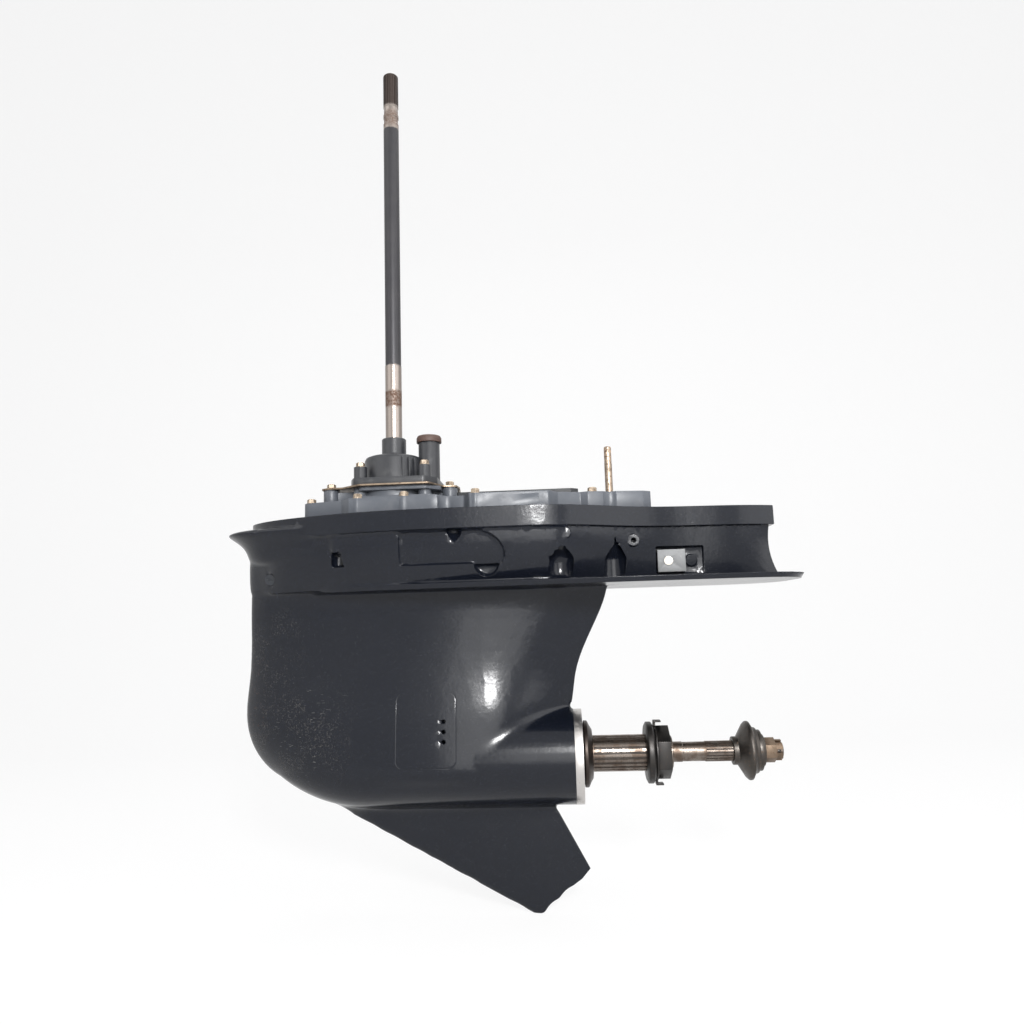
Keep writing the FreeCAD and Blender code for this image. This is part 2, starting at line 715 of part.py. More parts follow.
BACKLASH = 0.35
PRESSURE_ANGLE = math.radians(20)
ADDENDUM_SHARE, DEDENDUM_SHARE = 0.8, 1.05
gear_ratio = float(size.gear_teeth) / float(size.pinion_teeth)
gear_pitch_radius = float(size.gear_module) * float(size.gear_teeth) / 2
pinion_pitch_radius = float(size.gear_module) * float(size.pinion_teeth) / 2
cone_distance = math.hypot(gear_pitch_radius, pinion_pitch_radius)
small_end = 1 - float(size.face_width) / cone_distance
addendum = ADDENDUM_SHARE * float(size.gear_module)
dedendum = DEDENDUM_SHARE * float(size.gear_module)


def involute(angle):
    return math.tan(angle) - angle


def gap_outline(pitch_radius, pitch_angle, teeth):
    """Outline of one tooth gap at the large end, as (across, outwards) from the pitch point."""
    rolling = pitch_radius / math.cos(pitch_angle)
    virtual_teeth = teeth / math.cos(pitch_angle)
    base = rolling * math.cos(PRESSURE_ANGLE)
    pitch_half = math.pi / 2 / virtual_teeth - BACKLASH / 2 / rolling
    flank = []
    root, tip = rolling - dedendum, rolling + addendum + 1.0
    for radius in (root, rolling - dedendum / 2, rolling, rolling + addendum / 2, tip):
        slope = math.acos(min(1.0, base / radius))
        tooth_half = pitch_half + involute(PRESSURE_ANGLE) - involute(slope)
        half = math.pi / virtual_teeth - tooth_half
        flank.append((radius * math.sin(half), radius * math.cos(half) - rolling))
    return flank + [(-across, out) for across, out in reversed(flank)]


def bevel_teeth(blank, pitch_radius, pitch_angle, teeth, first):
    """Cuts straight tooth gaps that all point at the cone's apex, at the origin."""
    pitch_point = FreeCAD.Vector(pitch_radius, 0, cone_distance * math.cos(pitch_angle))
    outwards = FreeCAD.Vector(math.cos(pitch_angle), 0, -math.sin(pitch_angle))
    across = FreeCAD.Vector(0, 1, 0)
    large = [pitch_point + across * a + outwards * b
             for a, b in gap_outline(pitch_radius, pitch_angle, teeth)]
    wires = [Part.makePolygon([p * scale for p in [*large, large[0]]])
             for scale in (1.12, small_end * 0.88)]
    gap = Part.makeLoft(wires, True, True)
    gaps = []
    for index in range(int(teeth)):
        turned_gap = gap.copy()
        turned_gap.rotate(FreeCAD.Vector(), FreeCAD.Vector(0, 0, 1), (index + first) * 360 / teeth)
        gaps.append(turned_gap)
    return blank.cut(gaps)


def turned_solid(profile):
    """A solid turned about Z from (distance along Z, radius)."""
    face = polygon_face([FreeCAD.Vector(radius, 0, distance) for distance, radius in profile])
    return face.revolve(FreeCAD.Vector(), FreeCAD.Vector(0, 0, 1), 360)


def cone_corners(pitch_radius, pitch_angle):
    """Tip and root corners of the teeth at both ends, as (distance, radius)."""
    along = cone_distance * math.cos(pitch_angle)
    tip = (along - addendum * math.sin(pitch_angle), pitch_radius + addendum * math.cos(pitch_angle))
    root = (along + dedendum * math.sin(pitch_angle), pitch_radius - dedendum * math.cos(pitch_angle))
    return tip, root, (tip[0] * small_end, tip[1] * small_end), (root[0] * small_end, root[1] * small_end)


def wedge_slots(solid, low, high, inner, outer, half_angle, count):
    """Cuts equal wedge slots between two heights on Z; the first is centred on +X."""
    a = math.radians(half_angle)
    corners = [(inner, -a), (outer, -a), (outer, a), (inner, a)]
    face = polygon_face([FreeCAD.Vector(r * math.cos(t), r * math.sin(t), low) for r, t in corners])
    slot = face.extrude(FreeCAD.Vector(0, 0, high - low))
    slots = []
    for index in range(count):
        one = slot.copy()
        one.rotate(FreeCAD.Vector(), FreeCAD.Vector(0, 0, 1), index * 360 / count)
        slots.append(one)
    return solid.cut(slots)


JAW_COUNT = 8
SLOT_HALF_ANGLE = 12.5
needle_bottom = float(size.needle_bottom_rise)
pinion_angle = math.atan2(pinion_pitch_radius, gear_pitch_radius)
gear_angle = math.pi / 2 - pinion_angle
pinion_bore = float(size.driveshaft_radius) - 2
jaw_tip = float(size.clutch_half_width) + float(size.jaw_depth) + float(size.jaw_gap)
jaw_root = jaw_tip + float(size.jaw_depth)
gear_bore = float(size.inner_shaft_radius) + float(size.running_clearance)
gear_back = jaw_tip + 21


def pinion_solid():
    tip, root, small_tip, small_root = cone_corners(pinion_pitch_radius, pinion_angle)
    blank = turned_solid([
        (small_root[0] - 1, pinion_bore), (small_root[0] - 1, small_root[1] - 1), small_root, small_tip,
        tip, root,
        (needle_bottom - 2, pinion_pitch_radius - 5), (needle_bottom - 1, pinion_pitch_radius - 6),
        (needle_bottom - 1, pinion_bore),
    ])
    return bevel_teeth(blank, pinion_pitch_radius, pinion_angle, float(size.pinion_teeth), 0.5)


def gear_solid(hub_radius, hub_end, rear_jaws):
    tip, root, small_tip, small_root = cone_corners(gear_pitch_radius, gear_angle)
    inner, outer = float(size.jaw_inner), float(size.jaw_outer)
    blank = turned_solid([
        (jaw_root, gear_bore), (jaw_root, inner), (jaw_tip, inner), (jaw_tip, outer), (jaw_root, outer),
        (jaw_root, small_root[1] - 2), small_root, small_tip, tip, root, (root[0] + 3, root[1] - 2),
        (gear_back, float(size.gear_bearing_radius)), (gear_back, hub_radius), (hub_end, hub_radius),
        (hub_end, gear_bore),
    ])
    gear = bevel_teeth(blank, gear_pitch_radius, gear_angle, float(size.gear_teeth), 0.0)
    gear = wedge_slots(gear, jaw_tip - 1, jaw_root, inner - 1, outer + 1, SLOT_HALF_ANGLE, JAW_COUNT)
    if rear_jaws:
        low, high = float(size.rear_jaw_inner), float(size.rear_jaw_outer) + 2
        gear = wedge_slots(gear, hub_end - float(size.jaw_depth), hub_end + 1, low, high, SLOT_HALF_ANGLE,
                           JAW_COUNT)
        relief = Part.makeCylinder(low, float(size.jaw_depth),
                                   FreeCAD.Vector(0, 0, hub_end - float(size.jaw_depth)))
        gear = gear.cut(relief)
    return gear


pinion = shaped("pinion", pinion_solid())
at_shaft_line(pinion)
keep("pinion_gear", pinion)
rear_hub_end = (float(size.rear_clutch_station) - float(size.rear_clutch_half_width)
                - 2 * float(size.jaw_depth)
                - float(size.jaw_gap) + 2.0)
for name, hub, hub_end, quarter, jaws in (("front_gear", size.gear_hub_radius, 60.0, -90, False),
                                          ("rear_gear", size.rear_hub_radius, rear_hub_end, 90, True)):
    gear = shaped(f"{name}_solid", gear_solid(float(hub), hub_end, jaws))
    gear.Placement = FreeCAD.Placement(vector(0, 0, shaft_level),
                                       FreeCAD.Rotation(FreeCAD.Vector(0, 1, 0), quarter))
    at_shaft_line(gear)
    keep(name, gear)


# Bearings of the driveshaft and the gears

gap = size.bearing_gap
clearance = size.running_clearance
upper_low = size.upper_bearing_top - size.upper_bearing_height
keep("driveshaft_bearing_cone", turned("upper_cone", "Z", [
    (upper_low + 1, size.driveshaft_radius), (upper_low + 1, size.driveshaft_radius + 8),
    (size.upper_bearing_top - 1, size.driveshaft_radius + 11.5),
    (size.upper_bearing_top - 1, size.driveshaft_radius),
]))
keep("driveshaft_bearing_cup", turned("upper_cup", "Z", [
    (upper_low, size.driveshaft_radius + 7.8 + gap), (upper_low, size.upper_bearing_radius),
    (size.upper_bearing_top, size.upper_bearing_radius),
    (size.upper_bearing_top, size.driveshaft_radius + 11.7 + gap),
]))
needle_low = shaft_level + size.needle_bottom_rise
keep("driveshaft_needle_bearing", ring("needles", "Z", needle_low, needle_low + size.needle_height,
                                       size.driveshaft_radius + clearance, size.needle_radius))
keep("front_gear_bearing_cone", at_shaft_line(turned("front_cone", "X", [
    (-58.0, size.gear_hub_radius), (-58.0, size.gear_hub_radius + 5), (-40.0, size.gear_hub_radius + 8.5),
    (-40.0, size.gear_hub_radius),
])))
keep("front_gear_bearing_cup", at_shaft_line(turned("front_cup", "X", [
    (-60.0, size.gear_hub_radius + 4.7 + gap), (-60.0, size.gear_bearing_radius),
    (size.gear_bore_front, size.gear_bearing_radius),
    (size.gear_bore_front, size.gear_hub_radius + 8.9 + gap),
])))
keep("rear_gear_bearing_cone", at_shaft_line(turned("rear_cone", "X", [
    (36.0, size.rear_hub_radius), (36.0, size.rear_hub_radius + 7), (50.0, size.rear_hub_radius + 4),
    (50.0, size.rear_hub_radius),
])))
keep("rear_gear_bearing_cup", at_shaft_line(turned("rear_cup", "X", [
    (35.0, size.rear_hub_radius + 7.3 + gap), (35.0, size.rear_cup_radius), (52.0, size.rear_cup_radius),
    (52.0, size.rear_hub_radius + 3.6 + gap),
])))


# Driveshaft, pinion nut, impeller and key

impeller_low = (size.gasket_level * 2 + size.cover_height + size.seal_carrier_height
                + size.wear_plate_thickness)
spline_low = size.driveshaft_top - size.top_spline_length - 3
driveshaft_blank = turned("driveshaft_blank", "Z", [
    (shaft_level + 20.5, 0.0), (shaft_level + 20.5, 6.5), (shaft_level + 22, 7.5), (shaft_level + 30, 7.5),
    (shaft_level + 30, size.driveshaft_radius - 2), (shaft_level + size.needle_bottom_rise - 1,
                                                     size.driveshaft_radius - 2),
    (shaft_level + size.needle_bottom_rise - 1, size.driveshaft_radius),
    (size.coat_start, size.driveshaft_radius), (size.coat_start + 1, size.coat_radius),
    (spline_low - 26, size.coat_radius), (spline_low - 24, size.coat_radius - 0.8),
    (spline_low - 17, size.coat_radius - 0.8), (spline_low - 16, size.coat_radius),
    (spline_low - 12, size.coat_radius), (spline_low - 11, size.coat_radius - 0.8),
    (spline_low - 1, size.coat_radius - 0.8), (spline_low, size.coat_radius - 0.1),
    (size.driveshaft_top - 3.5, size.coat_radius - 0.1), (size.driveshaft_top, size.coat_radius - 3.6),
    (size.driveshaft_top, 0.0),
])
doc.recompute()
slotted(driveshaft_blank, "top_spline", "Z", size.driveshaft_top + 1, size.top_spline_length + 3,
        size.coat_radius - 0.1 - size.top_spline_depth, size.coat_radius + 1, 3.4, 26)
key_seat = box("key_seat", (size.driveshaft_radius - 1.5, -2.0, impeller_low + 6),
               (size.driveshaft_radius + 2, 2.0, impeller_low + 22))
keep("driveshaft", cut("driveshaft_cut", driveshaft_blank, [key_seat]))
keep("impeller_key", box("key", (size.driveshaft_radius - 1.5, -2.0, impeller_low + 6),
                         (size.driveshaft_radius + 2, 2.0, impeller_low + 22)))


def hexagon(name, flats, start, end, along="Z", centre=(0.0, 0.0)):
    item = doc.addObject("Part::Prism", name)
    item.Polygon = 6
    item.setExpression("Circumradius", (length(flats) / math.sqrt(3)).text)
    item.setExpression("Height", (length(end) - length(start)).text)
    if along == "X":
        item.Placement = FreeCAD.Placement(FreeCAD.Vector(), FreeCAD.Rotation(FreeCAD.Vector(0, 1, 0), 90))
    item.setExpression(f"Placement.Base.{along.lower()}", length(start).text)
    for letter, value in zip({"X": "yz", "Z": "xy"}[along], centre):
        item.setExpression(f"Placement.Base.{letter}", length(value).text)
    return item


keep("pinion_nut", cut("pinion_nut_cut",
                       hexagon("pinion_nut_hex", 20.0, shaft_level + 22.5, shaft_level + 29.5),
                       [cylinder("pinion_nut_bore", 7.5, shaft_level + 20, shaft_level + 32)]))

vane_height = 24.0
hub = ring("impeller_hub", "Z", impeller_low + 1, impeller_low + 1 + vane_height, size.driveshaft_radius,
           size.driveshaft_radius + 5)
vanes = []
for index in range(6):
    vane = box(f"vane_{index + 1}", (size.driveshaft_radius + 4, -1.5, impeller_low + 1),
               (size.impeller_radius - 0.6, 1.5, impeller_low + 1 + vane_height))
    vane_tip = cylinder(f"vane_tip_{index + 1}", 2.2, impeller_low + 1, impeller_low + 1 + vane_height, "Z",
                        (size.impeller_radius - 2.7, 0))
    pair = fused(f"vane_pair_{index + 1}", [vane, vane_tip])
    pair.Placement = FreeCAD.Placement(FreeCAD.Vector(),
                                       FreeCAD.Rotation(FreeCAD.Vector(0, 0, 1), 60 * index + 30))
    vanes.append(pair)
key_way = box("key_way", (size.driveshaft_radius - 2, -2.0, impeller_low), (size.driveshaft_radius + 2, 2.0,
                                                                            impeller_low + 22))
keep("pump_impeller", cut("impeller_cut", fused("impeller_blank", [hub, *vanes]), [key_way]))


# Inner propeller shaft with its thrust hub, washer and castle nut

cross_slots = []
for place, station in (("front", length(0.0)), ("rear", size.rear_clutch_station)):
    reach = size.cross_pin_radius + size.shift_travel + 0.5
    cross_slots.append(box(f"cross_slot_{place}",
                           (station - reach, -20.0, shaft_level - size.cross_pin_radius - 0.1),
                           (station + reach, 20.0, shaft_level + size.cross_pin_radius + 0.1)))
inner_blank = at_shaft_line(turned("inner_shaft_blank", "X", [
    (size.inner_shaft_front, 0.0), (size.inner_shaft_front, size.inner_shaft_radius - 1),
    (size.inner_shaft_front + 1, size.inner_shaft_radius),
    (size.outer_shaft_end + 12, size.inner_shaft_radius),
    (size.outer_shaft_end + 13, size.inner_shaft_radius - 0.6),
    (size.inner_spline_start, size.inner_shaft_radius - 0.6),
    (size.inner_spline_start, size.inner_shaft_radius),
    (size.inner_spline_end + 24, size.inner_shaft_radius),
    (size.inner_spline_end + 24, 10.0), (size.inner_shaft_rear - 1.5, 10.0), (size.inner_shaft_rear, 8.5),
    (size.inner_shaft_rear, 0.0),
]))
doc.recompute()
slotted(inner_blank, "inner_spline", "X", size.inner_spline_end + 25, size.inner_spline_end + 25
        - size.inner_spline_start, size.inner_shaft_radius - size.inner_spline_depth,
        size.inner_shaft_radius + 1, 4.2, 20)
keep("inner_prop_shaft", cut("inner_shaft_cut", inner_blank, [
    *cross_slots,
    cylinder("plunger_bore", size.plunger_radius + clearance, size.inner_shaft_front - 5, 93.0, "X",
             (0, shaft_level)),
    cylinder("cotter_hole", 2.0, -20.0, 20.0, "Y", (size.inner_shaft_rear - 5.5, shaft_level)),
]))
hub_front, hub_rear = size.inner_spline_end - 4, size.inner_spline_end + 25
keep("rear_thrust_hub", at_shaft_line(turned("thrust_hub", "X", [
    (hub_front, size.inner_shaft_radius), (hub_front, 16.9), (hub_front + 6, 16.9), (hub_front + 7, 19),
    (hub_front + 15, size.hub_cone_radius - 3), (hub_front + 18, size.hub_cone_radius),
    (hub_front + 21, size.hub_cone_radius), (hub_front + 25, size.hub_cone_radius - 7),
    (hub_rear, size.hub_cone_radius - 8), (hub_rear, size.inner_shaft_radius),
])))
washer_end = hub_rear + 8.5
keep("thrust_washer", at_shaft_line(turned("hub_washer", "X", [
    (hub_rear, 10.0), (hub_rear, 24.4), (hub_rear + 5, 24.4), (hub_rear + 5.5, 20), (washer_end, 19),
    (washer_end, 10.0),
])))


def castle_nut_solid(flats, height, bore, slot_width, slot_depth):
    """A hexagon nut on Z with slots across its far end for the cotter pin."""
    corners = [FreeCAD.Vector(flats / math.sqrt(3), 0, 0)]
    turn = FreeCAD.Rotation(FreeCAD.Vector(0, 0, 1), 60)
    for _ in range(5):
        corners.append(turn.multVec(corners[-1]))
    nut = polygon_face(corners).extrude(FreeCAD.Vector(0, 0, height - slot_depth))
    crown = Part.makeCylinder(flats / 2 - 0.5, slot_depth, FreeCAD.Vector(0, 0, height - slot_depth))
    nut = nut.fuse(crown).cut(Part.makeCylinder(bore, height))
    for index in range(3):
        slot = Part.makeBox(flats + 4, slot_width, slot_depth + 1,
                            FreeCAD.Vector(-flats / 2 - 2, -slot_width / 2, height - slot_depth))
        slot.rotate(FreeCAD.Vector(), FreeCAD.Vector(0, 0, 1), 60 * index + 90)
        nut = nut.cut(slot)
    return nut


castle = shaped("castle_nut_solid", castle_nut_solid(float(size.castle_nut_flats), 21.5, 10.0, 4.4, 8.0))
castle.Placement = FreeCAD.Placement(vector(washer_end, 0, 0),
                                     FreeCAD.Rotation(FreeCAD.Vector(0, 1, 0), 90))
castle.setExpression("Placement.Base.x", washer_end.text)
keep("castle_nut", at_shaft_line(castle))


# Outer propeller shaft with its rings, washer, nut and inner bushes

bell_inner = size.rear_clutch_radius + 0.1
outer_blank = at_shaft_line(turned("outer_shaft_blank", "X", [
    (size.bell_front, bell_inner), (size.bell_front, size.bell_radius),
    (size.bell_rear - 4, size.bell_radius),
    (size.bell_rear, size.bell_radius - 4), (size.bell_rear, 24.0), (size.bell_rear + 21, 24.0),
    (size.bell_rear + 21, 23.0), (size.torpedo_end - 1, 23.0), (size.torpedo_end - 1, 22.5),
    (size.outer_spline_start, 22.5), (size.outer_spline_start, size.outer_spline_radius),
    (size.outer_spline_end, size.outer_spline_radius), (size.outer_spline_end, 20.0),
    (size.outer_shaft_end - 1, 20.0), (size.outer_shaft_end, 19.0),
    (size.outer_shaft_end, size.outer_bore_radius),
    (size.bell_rear - 5, size.outer_bore_radius), (size.bell_rear - 5, bell_inner),
]))
doc.recompute()
slotted(outer_blank, "outer_spline", "X", size.outer_spline_end + 1, size.outer_spline_end + 1
        - size.outer_spline_start - 1, size.outer_spline_radius - size.outer_spline_depth,
        size.outer_spline_radius + 1.5, 3.9, 22)
keep("outer_prop_shaft", outer_blank)
ring_front = size.torpedo_end + 7
keep("front_thrust_ring", at_shaft_line(turned("thrust_ring", "X", [
    (ring_front, 22.5), (ring_front, size.thrust_ring_radius - 4),
    (ring_front + 4, size.thrust_ring_radius - 4),
    (ring_front + 4.5, size.thrust_ring_radius), (ring_front + 9, size.thrust_ring_radius),
    (ring_front + 12, size.thrust_ring_radius - 6), (size.outer_spline_start, 29.0),
    (size.outer_spline_start, 22.5),
])))
spacer_end = size.outer_spline_end + 11
keep("rear_spacer_ring", at_shaft_line(turned("spacer", "X", [
    (size.outer_spline_end, 20.0), (size.outer_spline_end, size.spacer_radius - 4),
    (size.outer_spline_end + 2, size.spacer_radius), (spacer_end - 3, size.spacer_radius),
    (spacer_end, size.spacer_radius - 5), (spacer_end, 20.0),
])))
washer_rear = spacer_end + 2.5
nut_end = washer_rear + 16
tabs = [at_shaft_line(ring("tab_washer_ring", "X", spacer_end, washer_rear, 20.0, 33.0))]
for name, low, high in (("upper", 32.0, 38.7), ("lower", -38.7, -32.0)):
    tabs.append(box(f"{name}_tab", (spacer_end, -6.0, shaft_level + low),
                    (washer_rear, 6.0, shaft_level + high)))
    lip_low, lip_high = (low + 4.5, high) if low > 0 else (low, high - 4.5)
    tabs.append(box(f"{name}_tab_lip", (washer_rear, -6.0, shaft_level + lip_low),
                    (washer_rear + 7, 6.0, shaft_level + lip_high)))
keep("tab_washer", fused("tab_washer_fuse", tabs))
keep("outer_prop_nut", cut("outer_nut_cut",
                           hexagon("outer_nut_hex", size.outer_nut_flats, washer_rear, nut_end, "X",
                                                    (0, shaft_level)),
                           [cylinder("outer_nut_bore", 20.0, washer_rear - 1, nut_end + 1, "X",
                                     (0, shaft_level))]))
bushes = [at_shaft_line(ring(f"shaft_bush_{place}", "X", start, start + 22,
                             size.inner_shaft_radius + clearance,
                             size.outer_bore_radius))
          for place, start in (("front", size.bell_rear + 3), ("rear", size.outer_spline_end - 12))]
keep("inner_shaft_bushes", fused("bush_group", bushes))


# Propeller shaft bearing carrier with its bearings, seals and O-rings

land = size.gear_bore_radius - size.carrier_fit
tube = size.carrier_tube_radius
carrier_bore = size.bell_radius + 1.5
bearing_start, bearing_end = size.bell_rear + 2, size.bell_rear + 21
seal_start = size.torpedo_end - 12
carrier_body = at_shaft_line(turned("carrier_body", "X", [
    (size.carrier_front + 3, size.rear_cup_radius), (size.carrier_front + 3, land), (50.0, land),
    (50.0, land - 2.5), (54.0, land - 2.5), (54.0, land), (64.0, land), (68.0, land - 6),
    (bearing_start + 4, land - 6),
    (bearing_end + 4, tube), (size.torpedo_end, tube), (size.torpedo_end, 28.0), (190.0, 28.0),
    (190.0, 25.0),
    (bearing_end, 25.0), (bearing_end, 34.0), (bearing_start, 34.0), (bearing_start, carrier_bore),
    (52.0, carrier_bore), (52.0, size.rear_cup_radius),
]))
rear_land = at_shaft_line(turned("carrier_rear_land", "X", [
    (seal_start, size.carrier_window_radius), (seal_start, land), (seal_start + 3, land),
    (seal_start + 3, land - 2.5), (seal_start + 7, land - 2.5), (seal_start + 7, land),
    (size.torpedo_end, land),
    (size.torpedo_end + 1, land), (size.torpedo_end + 1, size.carrier_window_radius),
]))
rear_ring = cut("carrier_ring", cylinder("carrier_ring_disc", size.skin_radius, size.torpedo_end,
                                         size.torpedo_end + size.carrier_ring_width, "X",
                                         (0, shaft_level - size.skin_drop)),
                [cylinder("carrier_window", size.carrier_window_radius, size.torpedo_end - 2,
                          size.torpedo_end + size.carrier_ring_width + 2, "X", (0, shaft_level))])
ribs = []
for name, low, high in (("port", (-45.0, -4.0), (-31.0, 4.0)), ("starboard", (31.0, -4.0), (45.0, 4.0)),
                        ("upper", (-4.0, 31.0), (4.0, 45.0)), ("lower", (-4.0, -45.0), (4.0, -31.0))):
    ribs.append(box(f"carrier_rib_{name}", (180.0, low[0], shaft_level + low[1]),
                    (size.torpedo_end, high[0], shaft_level + high[1])))
keep("prop_bearing_carrier", fused("carrier_fuse", [carrier_body, rear_land, rear_ring, *ribs]))
o_rings = [at_shaft_line(ring(f"o_ring_{place}", "X", start + 0.4, start + 3.6, land - 2.5,
                              size.gear_bore_radius))
           for place, start in (("front", length(50.0)), ("rear", seal_start + 3))]
keep("carrier_o_rings", fused("o_ring_group", o_rings))
keep("outer_shaft_bearings", fused("outer_bearing_group", [
    at_shaft_line(ring("outer_bearing_front", "X", bearing_start, bearing_end, 24.0 + clearance, 34.0)),
    at_shaft_line(ring("outer_bearing_rear", "X", 190.0, seal_start - 1, 23.0 + clearance, 28.0)),
]))
keep("outer_shaft_seals", at_shaft_line(ring("shaft_seals", "X", seal_start, size.torpedo_end - 1.5,
                                             23.0 + clearance, 28.0)))


# Dog clutches, plunger, cross pins and collar

pin_half = size.jaw_outer - 1.5
half_width = size.clutch_half_width
tip_reach = size.clutch_half_width + size.jaw_depth
clutch_bore = size.inner_shaft_radius + clearance
front_blank = at_shaft_line(turned("front_clutch_blank", "X", [
    (-half_width, clutch_bore), (-half_width, size.jaw_inner), (-tip_reach, size.jaw_inner),
    (-tip_reach, size.jaw_outer - 0.5), (-3.0, size.jaw_outer - 0.5), (-3.0, size.jaw_outer - 1.5),
    (3.0, size.jaw_outer - 1.5), (3.0, size.jaw_outer - 0.5), (tip_reach, size.jaw_outer - 0.5),
    (tip_reach, size.jaw_inner), (half_width, size.jaw_inner), (half_width, clutch_bore),
]))
doc.recompute()
slotted(front_blank, "front_jaw_gap", "X", -half_width, size.jaw_depth + 1, size.jaw_inner - 1.2,
        size.jaw_outer + 2, 12.5, 8, 22.5)
doc.recompute()
slotted(front_blank, "rear_jaw_gap", "X", half_width, -(size.jaw_depth + 1), size.jaw_inner - 1.2,
        size.jaw_outer + 2, 12.5, 8, 22.5)
keep("front_clutch", cut("front_clutch_cut", front_blank, [
    cylinder("front_pin_hole", size.cross_pin_radius, -30.0, 30.0, "Y", (0.0, shaft_level))]))
keep("front_cross_pin", cylinder("front_pin", size.cross_pin_radius, -pin_half, pin_half, "Y",
                                 (0.0, shaft_level)))
groove_half = size.crank_pin_radius + size.groove_play
flange_width = 4.0
plunger_blank = at_shaft_line(turned("plunger_blank", "X", [
    (size.rod_station - groove_half - flange_width, 0.0),
    (size.rod_station - groove_half - flange_width, 9.0),
    (size.rod_station - groove_half, 9.0), (size.rod_station - groove_half, size.plunger_radius),
    (size.rod_station + groove_half, size.plunger_radius), (size.rod_station + groove_half, 9.0),
    (size.rod_station + groove_half + flange_width, 9.0),
    (size.rod_station + groove_half + flange_width, size.plunger_radius),
    (size.rear_clutch_station + 7, size.plunger_radius), (size.rear_clutch_station + 7, 0.0),
]))
keep("shift_plunger", cut("plunger_cut", plunger_blank, [
    cylinder("plunger_hole_front", size.cross_pin_radius, -10.0, 10.0, "Y", (0.0, shaft_level)),
    cylinder("plunger_hole_rear", size.cross_pin_radius, -10.0, 10.0, "Y",
             (size.rear_clutch_station, shaft_level)),
]))
collar_radius = 17.0
collar = at_shaft_line(ring("collar_ring", "X", size.rear_clutch_station - 3.8,
                            size.rear_clutch_station + 3.8,
                            clutch_bore, collar_radius))
keep("rear_collar", cut("collar_cut", collar, [
    cylinder("collar_hole", size.cross_pin_radius, -30.0, 30.0, "Y",
             (size.rear_clutch_station, shaft_level))]))
keep("rear_cross_pin", cylinder("rear_pin", size.cross_pin_radius, -16.5, 16.5, "Y",
                                (size.rear_clutch_station, shaft_level)))
rear_front = size.rear_clutch_station - size.rear_clutch_half_width + 1
rear_end = size.rear_clutch_station + size.rear_clutch_half_width
groove_low, groove_high = size.rear_clutch_station - 4.2, size.rear_clutch_station + 4.2
rear_blank = at_shaft_line(turned("rear_clutch_blank", "X", [
    (rear_front, 13.0), (rear_front, size.rear_jaw_inner),
    (rear_front - size.jaw_depth, size.rear_jaw_inner),
    (rear_front - size.jaw_depth, size.rear_jaw_outer), (rear_front, size.rear_jaw_outer),
    (rear_front, size.rear_clutch_radius), (rear_end, size.rear_clutch_radius), (rear_end, 13.0),
    (groove_high, 13.0), (groove_high, collar_radius + 0.5), (groove_low, collar_radius + 0.5),
    (groove_low, 13.0),
]))
doc.recompute()
slotted(rear_blank, "rear_clutch_gap", "X", rear_front, size.jaw_depth + 1, size.rear_jaw_inner - 1,
        size.rear_jaw_outer + 2, 12.5, 8, 22.5)
keep("rear_clutch", rear_blank)


# Shift train under the cover and down the strut

gasket_top = size.gasket_level
cover_top = gasket_top + size.cover_height
lever_low = gasket_top + 3
link_low = lever_low + size.lever_thickness + 0.3
link_high = link_low + size.lever_thickness
eye = 5.5
pin = 3.0


def lever(name, station, across, hub_radius):
    """A flat lever that points to starboard, with a pin standing up at its end."""
    end = across + size.lever_length
    return [
        cylinder(f"{name}_hub", hub_radius, lever_low, lever_low + size.lever_thickness, "Z",
                 (station, across)),
        box(f"{name}_arm", (station - 4.5, across, lever_low),
            (station + 4.5, end, lever_low + size.lever_thickness)),
        cylinder(f"{name}_eye", eye, lever_low, lever_low + size.lever_thickness, "Z", (station, end)),
        cylinder(f"{name}_pin", pin, lever_low, link_high + 1.5, "Z", (station, end)),
    ]


shaft_blank = turned("shift_shaft_blank", "Z", [
    (-11.0, 0.0), (-11.0, size.shift_radius), (cover_top + 4, size.shift_radius),
    (cover_top + 4, size.shift_radius - 0.3),
    (size.shift_top - 22, size.shift_radius - 0.3), (size.shift_top - 22, size.shift_radius - 0.5),
    (size.shift_top - 1, size.shift_radius - 0.5), (size.shift_top, size.shift_radius - 1.5),
    (size.shift_top, 0.0),
])
shaft_blank.setExpression("Placement.Base.x", size.shift_station.text)
doc.recompute()
slotted(shaft_blank, "shift_spline", "Z", size.shift_top + 1, 20.0, size.shift_radius - 0.7,
        size.shift_radius + 1, 7.0, 12)
keep("shift_shaft", shaft_blank)
lever_body = fused("shift_lever_fuse", lever("shift_lever", size.shift_station, length(0.0), 9.0))
keep("shift_lever", cut("shift_lever_cut", lever_body, [
    cylinder("shift_lever_bore", size.shift_radius, 0.0, 20.0, "Z", (size.shift_station, 0))]))
crank_level = shaft_level + 10.5
rod_parts = [
    cylinder("rod", size.rod_radius, crank_level, lever_low + size.lever_thickness, "Z",
             (size.rod_station, size.crank_offset)),
    *lever("rod_lever", size.rod_station, size.crank_offset, 8.0),
    box("crank_web", (size.rod_station - 4, 0.0, crank_level), (size.rod_station + 4, size.crank_offset,
                                                              crank_level + 4.5)),
    cylinder("crank_end", 4.0, crank_level, crank_level + 4.5, "Z", (size.rod_station, 0)),
    cylinder("crank_pin", size.crank_pin_radius, shaft_level + size.plunger_radius + 0.6,
             crank_level + 4.5, "Z", (size.rod_station, 0)),
]
keep("lower_shift_rod", fused("rod_fuse", rod_parts))


